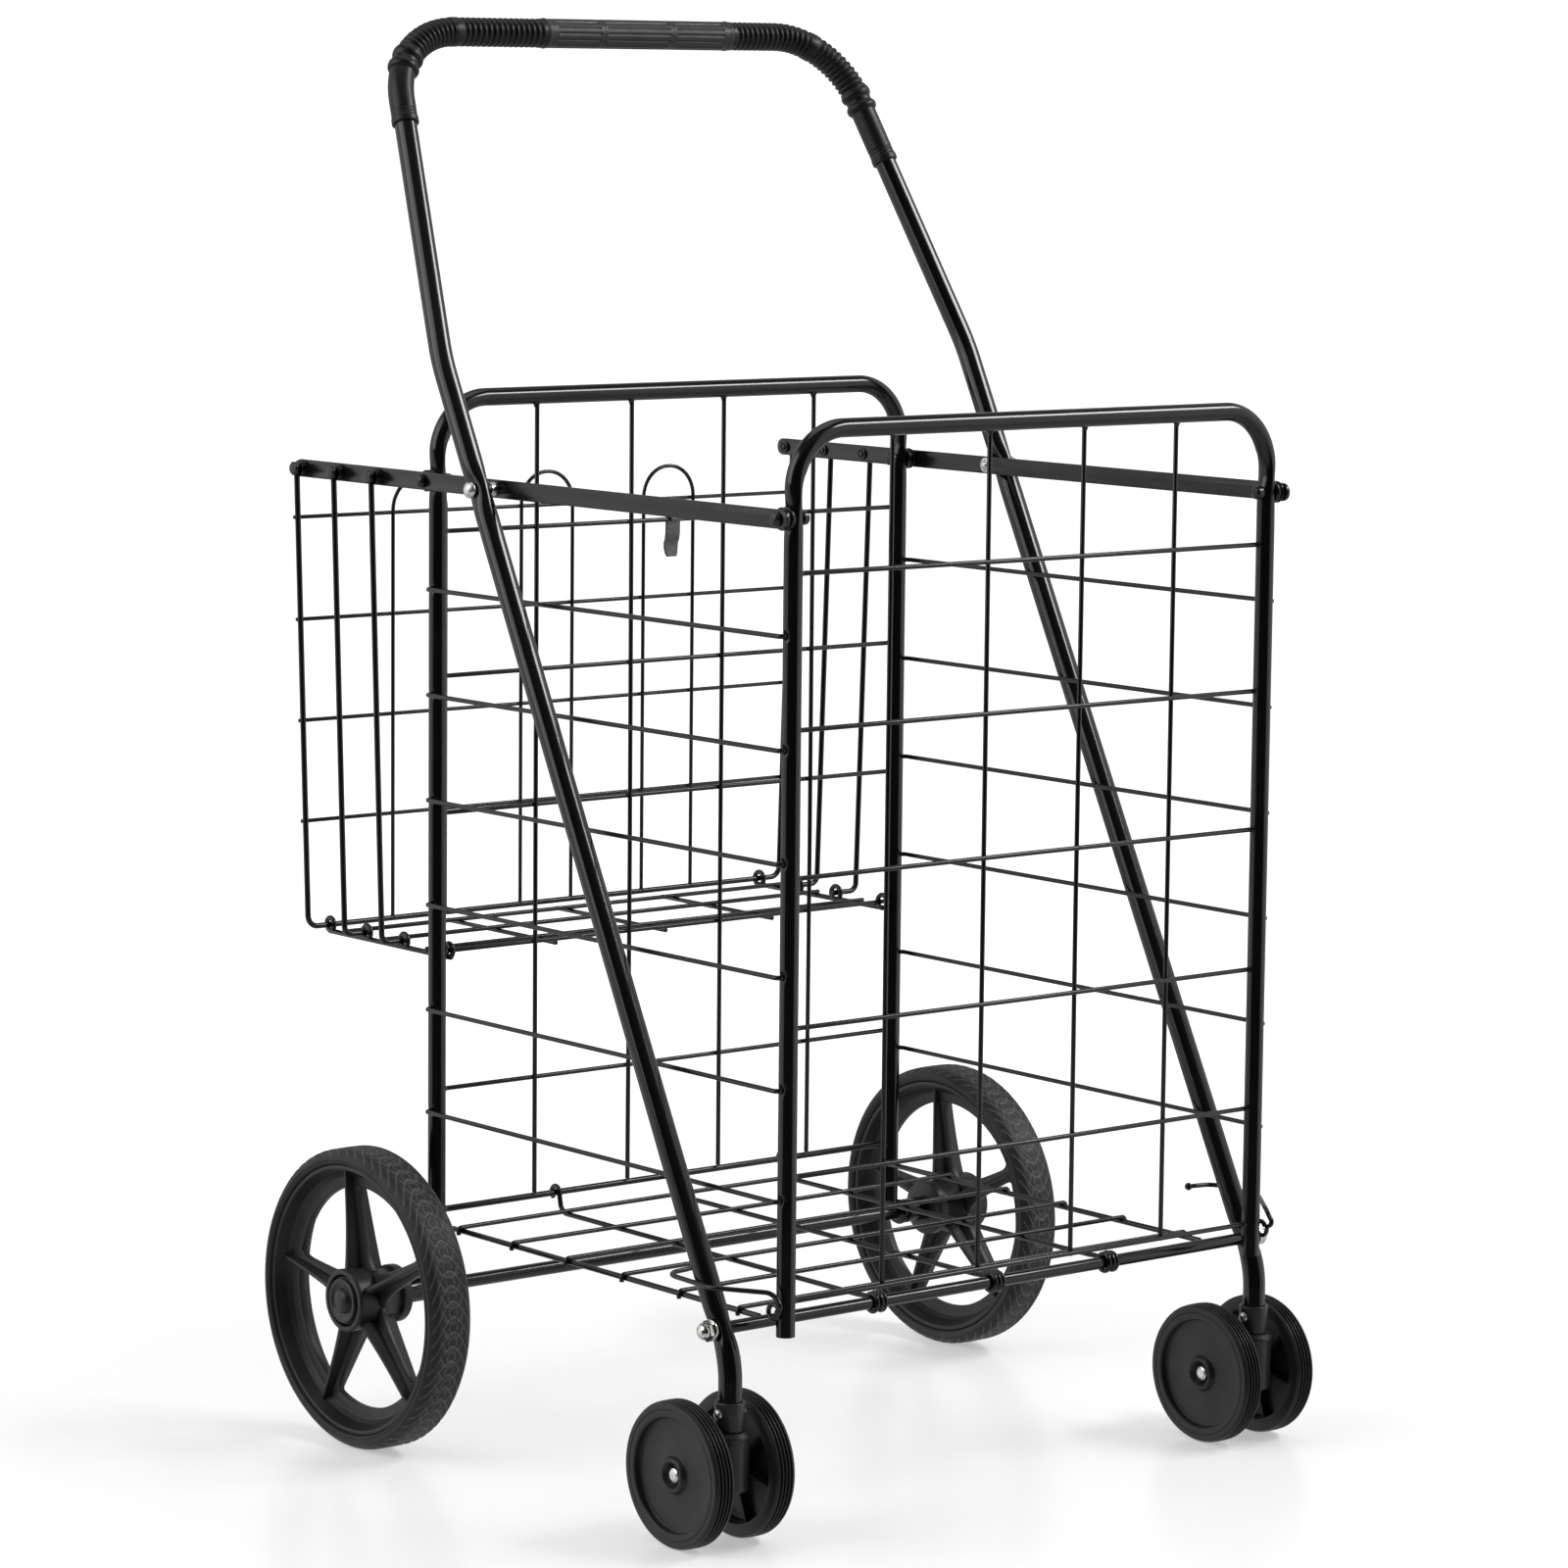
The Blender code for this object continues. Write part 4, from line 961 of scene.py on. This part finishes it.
stations = []
s_now = -66.0
while s_now < 95.0:
    stations.append(s_now)
    near = min(min(abs(s_now - lo), abs(s_now - hi)) for lo, hi in PANELS)
    s_now += 0.55 if near < 3.0 or s_now < -62 or s_now > 91 else 2.5
stations.append(95.0)
piece("grip_centre_sleeve", [sleeve(stations, centre_radius, 7.7, 160)], GRIP, "handle",
      ["grip_centre"], angle=60)


def bend_radius(t):
    """Radius along a bend sleeve, t measured from the middle grip."""
    if t < 3.0:
        return 9.9
    if t < 119.0:
        if 70.6 < t < 77.0:
            return 10.0 - 0.5 * abs((t - 73.8) / 3.2) ** 6
        ph = (t - 3.0) / 4.5 if t <= 70.6 else (t - 77.0) / 4.2
        return 8.25 + 1.6 * abs(math.cos(math.pi * ph)) ** 0.62
    if t < 126.0:
        return 9.3 + 1.5 * max(0.0, math.sin(math.pi * (t - 119.0) / 7.0)) ** 0.6
    if t < 129.5:
        return 9.0
    if t < 136.0:
        return 9.2 + 1.6 * max(0.0, math.sin(math.pi * (t - 129.5) / 6.5)) ** 0.6
    r = 8.75
    if t > 165.0:
        for g in (166.5, 168.6):
            r -= 0.28 * math.exp(-((t - g) / 0.5) ** 2)
    if t > 171.2:
        r = 9.15 if t < 175.2 else 9.15 - 0.7 * ((t - 175.2) / 0.8) ** 2
    return r


for side, s in SIDES:
    start = 95.0 if s > 0 else 66.0
    ts = []
    t = 0.4
    while t < 176.0:
        ts.append(t)
        t += 0.42 if t < 137 or t > 164 else 2.0
    ts.append(176.0)
    stations = [s * (start + t) for t in ts]
    if s < 0:
        stations.reverse()
    f = lambda q, a, s=s, start=start: bend_radius(s * q - start)
    piece(f"grip_bend_{side}_bellows", [sleeve(stations, f, 7.7, 36)], BELLOWS, "handle",
          [f"grip_bend_{side}"], angle=60)

rod = prof([(-238.0, 0.0), (-238.0, 4.0), (238.0, 4.0), (238.0, 0.0)], [0, 0.5, 0.5, 0], 3)
piece("cross_rod_bar", [lathe((0, CROSS_Y, CROSS_Z), X, rod, 24)], TUBE, "handle",
      ["cross_rod"])

for side, s in SIDES:
    at = (0.0, CROSS_Y, CROSS_Z)
    hexagon = prof([(235.2, 4.2), (235.2, 6.7), (239.0, 6.7), (239.8, 6.0), (239.8, 4.2)], 0.25, 2)
    dome = prof([(239.0, 0.0), (239.0, 5.5), (240.6, 5.5), (242.4, 4.2), (243.4, 2.0), (243.6, 0.0)],
                [0, 0.2, 1.4, 1.6, 1.2, 0], 5)
    washer = prof([(233.6, 4.2), (233.6, 6.9), (235.0, 6.9), (235.0, 4.2)], 0.3, 2)
    piece(f"acorn_nut_{side}_body", [lathe(at, X * s, washer, 32, ring=True),
                                     lathe(at, X * s, hexagon, 6, ring=True, phase=0.25),
                                     lathe(at, X * s, dome, 32)],
          NICKEL, "handle", [f"acorn_nut_{side}"], angle=25)

    # plastic socket on the end of the leg, with its rivet
    c = (s * HANDLE_X, CASTER_Y, 0.0)
    socket = prof([(75.4, 0.0), (75.4, 9.4), (92.4, 9.7), (94.0, 9.7), (94.0, 8.2), (93.2, 7.7), (88.0, 7.7),
                   (88.0, 0.0)], [0, 0.7, 0.3, 0.7, 0.6, 0.3, 0.2, 0], 4)
    piece(f"caster_socket_{side}_cup", [lathe(c, Z, socket, 40)], HOUSING, "handle",
          [f"caster_socket_{side}"], angle=50)
    rivets = []
    for e in (-1.0, 1.0):
        head = prof([(8.4, 0.0), (8.4, 3.3), (9.9, 3.4), (11.2, 2.4), (11.7, 1.0), (11.7, 0.0)],
                    [0, 0.3, 0.8, 0.8, 0.6, 0], 4)
        rivets.append(lathe((s * HANDLE_X, CASTER_Y, 86.6), X * e, head, 28))
    piece(f"caster_socket_{side}_rivet", rivets, ZINC, "handle", angle=50)

    guide = fillet([(s * 213.4, 74.4, 168.0), (s * 236.4, 74.0, 167.0), (s * 236.4, 30.0, 166.0),
                    (s * 212.2, -2.0, 165.0), (s * 211.2, -9.6, 157.0), (s * 210.8, -4.6, 153.6)],
                   [0, 9.4, 14.0, 10.0, 4.0, 0], 9)
    guide += [(s * (210.6 - 0.10 * k), 4.8 * -math.cos(math.radians(k * 24.0)),
               152.4 - 4.8 * math.sin(math.radians(k * 24.0))) for k in range(1, 15)]
    piece(f"guide_loop_{side}_wire", [wire(guide, R_WIRE, 12),
                                      blob((s * 213.0, 74.4, 168.0), 2.6, 2.6, 2.6, 14, 10)],
          WIRE, "handle", [f"guide_loop_{side}"])

# ---------------------------------------------------------------------------
# Casters
# ---------------------------------------------------------------------------
hub_y = CASTER_Y + CASTER_TRAIL
for side, s in SIDES:
    top = (s * HANDLE_X, CASTER_Y, 0.0)
    barrel = prof([(36.8, 0.0), (36.8, 10.4), (38.0, 12.0), (70.2, 12.3), (70.6, 12.9), (73.4, 12.9), (73.8, 11.6),
                   (75.0, 11.4), (75.0, 0.0)], [0, 1.0, 1.2, 0.3, 0.5, 0.6, 0.3, 0.4, 0], 4)
    boss = prof([(-14.6, 3.4), (-14.6, 7.6), (-13.6, 8.2), (13.6, 8.2), (14.6, 7.6), (14.6, 3.4)], 0.6, 3)
    web = []
    for j in range(13):
        q = j / 12
        yy = CASTER_Y + 6.0 + (hub_y - 3.0 - CASTER_Y - 6.0) * q
        hz0, hz1 = 40.5 + 1.0 * q, 60.0 - 6.5 * q
        w = 5.4 - 0.6 * math.sin(math.pi * q)
        sec = []
        for k in range(20):
            t = 2 * math.pi * k / 20
            cx = math.copysign(abs(math.cos(t)) ** 0.35, math.cos(t)) * w
            cz = math.copysign(abs(math.sin(t)) ** 0.35, math.sin(t)) * (hz1 - hz0) / 2 + (hz0 + hz1) / 2
            sec.append(Vector((s * HANDLE_X + cx, yy, cz)))
        web.append(sec)
    piece(f"caster_housing_{side}_body",
          [lathe(top, Z, barrel, 48), lathe((s * HANDLE_X, hub_y, CASTER_Z), X, boss, 32, ring=True), loft(web)],
          HOUSING, f"caster_{side}", [f"caster_housing_{side}"], angle=50)
    pin = prof([(-30.0, 0.0), (-29.9, 3.1), (-29.1, 4.7), (-27.9, 5.0), (-27.7, 2.7), (27.7, 2.7),
                (27.9, 5.0), (29.1, 4.7), (29.9, 3.1), (30.0, 0.0)],
               [0, 1.4, 0.7, 0.2, 0.05, 0.05, 0.2, 0.7, 1.4, 0], 4)
    piece(f"caster_axle_{side}_rivet", [lathe((s * HANDLE_X, hub_y, CASTER_Z), X, pin, 32)], ZINC,
          f"caster_{side}", [f"caster_axle_{side}"], angle=50)

    for place, e in (("outer", s), ("inner", -s)):
        at = Vector((s * HANDLE_X, hub_y, CASTER_Z))
        pts, rad = [], []

        def add(t, r, q=0.3):
            pts.append(Vector((t, r, 0.0)))
            rad.append(q)

        add(15.4, 3.3, 0.2)
        add(15.4, 8.2, 0.6)
        add(25.0, 9.0, 1.2)
        add(25.4, 36.2, 2.2)
        add(16.6, 37.6, 0.6)
        add(16.4, 45.6, 1.0)
        n_ribs = 5
        w0, w1 = 17.4, 30.6
        pitch = (w1 - w0) / n_ribs
        for k in range(n_ribs):
            a0 = w0 + k * pitch
            add(a0 + 0.85, 47.0 - (0.4 if k in (0,) else 0.0), 0.45)
            add(a0 + pitch - 0.85, 47.0 - (0.4 if k == n_ribs - 1 else 0.0), 0.45)
            if k < n_ribs - 1:
                add(a0 + pitch - 0.50, 44.6, 0.2)
                add(a0 + pitch + 0.50, 44.6, 0.2)
        add(31.7, 45.4, 0.9)
        add(31.8, 41.9, 0.15)
        add(31.3, 41.5, 0.15)
        add(31.8, 41.1, 0.15)
        add(31.7, 37.6, 0.5)
        add(30.9, 36.7, 0.5)
        add(27.4, 36.1, 1.0)
        add(27.9, 12.4, 1.2)
        add(30.4, 11.0, 0.9)
        add(31.3, 9.9, 0.6)
        add(31.2, 8.6, 0.6)
        add(27.6, 6.6, 0.8)
        add(26.4, 5.6, 0.3)
        add(26.4, 3.3, 0.1)
        line = fillet(pts, rad, 3, closed=True)
        wheel = [lathe(at, X * e, [(p.x, p.y) for p in line], 112, ring=True)]
        for k in range(6):
            turn = math.radians(60.0 * k + 15.0)
            radial = Vector((0.0, math.cos(turn), math.sin(turn)))
            across = Vector((0.0, -math.sin(turn), math.cos(turn)))
            secs = []
            for r, lo in ((7.0, 17.0), (10.0, 17.6), (20.0, 19.6), (30.0, 20.6), (38.0, 20.8)):
                c0 = at + radial * r
                ring_pts = [(-0.95, 27.0), (0.95, 27.0), (0.8, lo + 0.5), (0.45, lo), (-0.45, lo), (-0.8, lo + 0.5)]
                secs.append([c0 + X * (e * d) + across * w for w, d in ring_pts])
            wheel.append(loft(secs))
        piece(f"caster_wheel_{side}_{place}_disc", wheel, CASTER, f"caster_{side}_{place}_wheel",
              [f"caster_wheel_{side}_{place}"], angle=44)

# ---------------------------------------------------------------------------
# Studio: pale floor, soft boxes, camera
# ---------------------------------------------------------------------------
AZ, EL, ROLL = math.radians(-39.245), math.radians(7.339), math.radians(0.571)

scene = bpy.context.scene
scene.view_settings.view_transform = "Standard"


def studio_floor():
    mesh = bpy.data.meshes.new("studio_floor")
    h = 60.0
    mesh.from_pydata([(-h, -h, 0), (h, -h, 0), (h, h, 0), (-h, h, 0)], [], [[0, 1, 2, 3]])
    g = Graph("studio_floor_painted_shade")
    tone = g.blend(g.spread(g.noise(1.4, 3.0), 0.0, 1.0, 0.3, 0.7), (0.84, 0.84, 0.84), (0.86, 0.86, 0.86))
    rough = g.spread(g.noise(3.0, 3.0), 0.22, 0.30, 0.3, 0.7)
    # painted shade: the floor's glow is dimmed close to the cart and rises to full white further out, standing in for
    # the soft shadow round the wheels
    length = g.node("ShaderNodeVectorMath", operation="LENGTH")
    g.link(g.coord, length.inputs[0])
    glow_with_painted_shade = g.spread(length.outputs["Value"], GLOW_NEAR_PAINTED_SHADE, GLOW_FAR, 0.35, 1.9, True)
    g.link(glow_with_painted_shade, g.shader.inputs["Emission Strength"])
    mesh.materials.append(g.done(tone, rough, Specular_IOR_Level=0.5,
                                 Emission_Color=(1.0, 1.0, 1.0, 1.0)))
    ob = bpy.data.objects.new("studio_floor", mesh)
    bpy.context.scene.collection.objects.link(ob)
    ob.visible_glossy = False
    ob.visible_diffuse = False
    ob.visible_shadow = False
    return ob


# floor glow at the cart (dimmed, painted shade) and far out (even white floor)
GLOW_NEAR_PAINTED_SHADE, GLOW_FAR = 0.41, 0.84
studio_floor()

# A white room with a dark opening where the camera stands, so the black tubes
# show a dark core between two grey edges.
world = bpy.data.worlds.new("studio_world")
scene.world = world
world.use_nodes = True
wt = world.node_tree


def wnode(kind, **values):
    n = wt.nodes.new(kind)
    for key, value in values.items():
        setattr(n, key, value)
    return n


def wramp(source, a0, a1, lo, hi):
    n = wnode("ShaderNodeMapRange", interpolation_type="SMOOTHSTEP")
    for key, value in (("From Min", a0), ("From Max", a1), ("To Min", lo), ("To Max", hi)):
        n.inputs[key].default_value = value
    wt.links.new(source, n.inputs["Value"])
    return n.outputs["Result"]


def wmath(op, a, b):
    n = wnode("ShaderNodeMath", operation=op)
    for socket, v in ((n.inputs[0], a), (n.inputs[1], b)):
        if isinstance(v, (int, float)):
            socket.default_value = v
        else:
            wt.links.new(v, socket)
    return n.outputs["Value"]


direction = wnode("ShaderNodeTexCoord").outputs["Generated"]
facing = wnode("ShaderNodeVectorMath", operation="DOT_PRODUCT")
wt.links.new(direction, facing.inputs[0])
facing.inputs[1].default_value = (math.sin(AZ), -math.cos(AZ), 0.0)
q = facing.outputs["Value"]
height = wnode("ShaderNodeSeparateXYZ")
wt.links.new(direction, height.inputs[0])
hz = height.outputs["Z"]
front = wramp(q, 0.40, 0.56, 1.0, 0.03)
rear = wramp(wmath("MULTIPLY", q, -1.0), 0.50, 0.80, 1.0, 0.50)
ring = wmath("MULTIPLY", front, rear)
top = wramp(hz, 0.45, 0.80, 0.0, 1.0)
ring = wmath("MULTIPLY", ring, wmath("SUBTRACT", 1.0, top))
ring = wmath("ADD", ring, wmath("MULTIPLY", top, 0.16))
under = wramp(hz, -0.45, -0.18, 1.0, 0.0)
ring = wmath("MULTIPLY", ring, wmath("SUBTRACT", 1.0, under))
ring = wmath("ADD", ring, wmath("MULTIPLY", under, 0.60))
room = wt.nodes["Background"]
room.inputs["Color"].default_value = (1.0, 1.0, 1.0, 1.0)
wt.links.new(wmath("MULTIPLY", ring, 0.9), room.inputs["Strength"])
seen = wnode("ShaderNodeBackground")
seen.inputs["Color"].default_value = (1.0, 1.0, 1.0, 1.0)
seen.inputs["Strength"].default_value = 1.1
path_info = wnode("ShaderNodeLightPath")
mixer = wnode("ShaderNodeMixShader")
wt.links.new(path_info.outputs["Is Camera Ray"], mixer.inputs[0])
wt.links.new(room.outputs[0], mixer.inputs[1])
wt.links.new(seen.outputs[0], mixer.inputs[2])
wt.links.new(mixer.outputs[0], wt.nodes["World Output"].inputs["Surface"])


def softbox(name, where, target, width, height, watts, colour=(1.0, 1.0, 1.0)):
    data = bpy.data.lights.new(name, "AREA")
    data.shape = "RECTANGLE"
    data.size = width
    data.size_y = height
    data.energy = watts
    data.color = colour
    ob = bpy.data.objects.new(name, data)
    ob.location = where
    ob.rotation_euler = (Vector(target) - Vector(where)).to_track_quat("-Z", "Y").to_euler()
    bpy.context.scene.collection.objects.link(ob)
    return ob


softbox("key_right", (1.95, -1.65, 2.65), (0, 0, 0.6), 1.9, 0.6, 52)
softbox("fill_left", (-2.6, 0.6, 1.9), (0, 0, 0.4), 2.4, 2.4, 34)
softbox("overhead", (0.3, 0.4, 3.6), (0, 0, 0), 2.4, 2.4, 18)

backward = Vector((math.sin(AZ) * math.cos(EL), -math.cos(AZ) * math.cos(EL), math.sin(EL)))
forward = -backward
right0 = forward.cross(Z).normalized()
up0 = right0.cross(forward)
cam_right = right0 * math.cos(ROLL) + up0 * math.sin(ROLL)
cam_up = up0 * math.cos(ROLL) - right0 * math.sin(ROLL)
cam_data = bpy.data.cameras.new("camera")
cam_data.sensor_width = 36.0
cam_data.lens = 5576.46 * 36.0 / 1600.0
cam_data.clip_end = 100.0
cam = bpy.data.objects.new("camera", cam_data)
m = Matrix((cam_right, cam_up, backward)).transposed().to_4x4()
m.translation = Vector((-2306.7, -2572.1 - Y0, 909.9)) * MM
cam.matrix_world = m
bpy.context.scene.collection.objects.link(cam)
bpy.context.scene.camera = cam
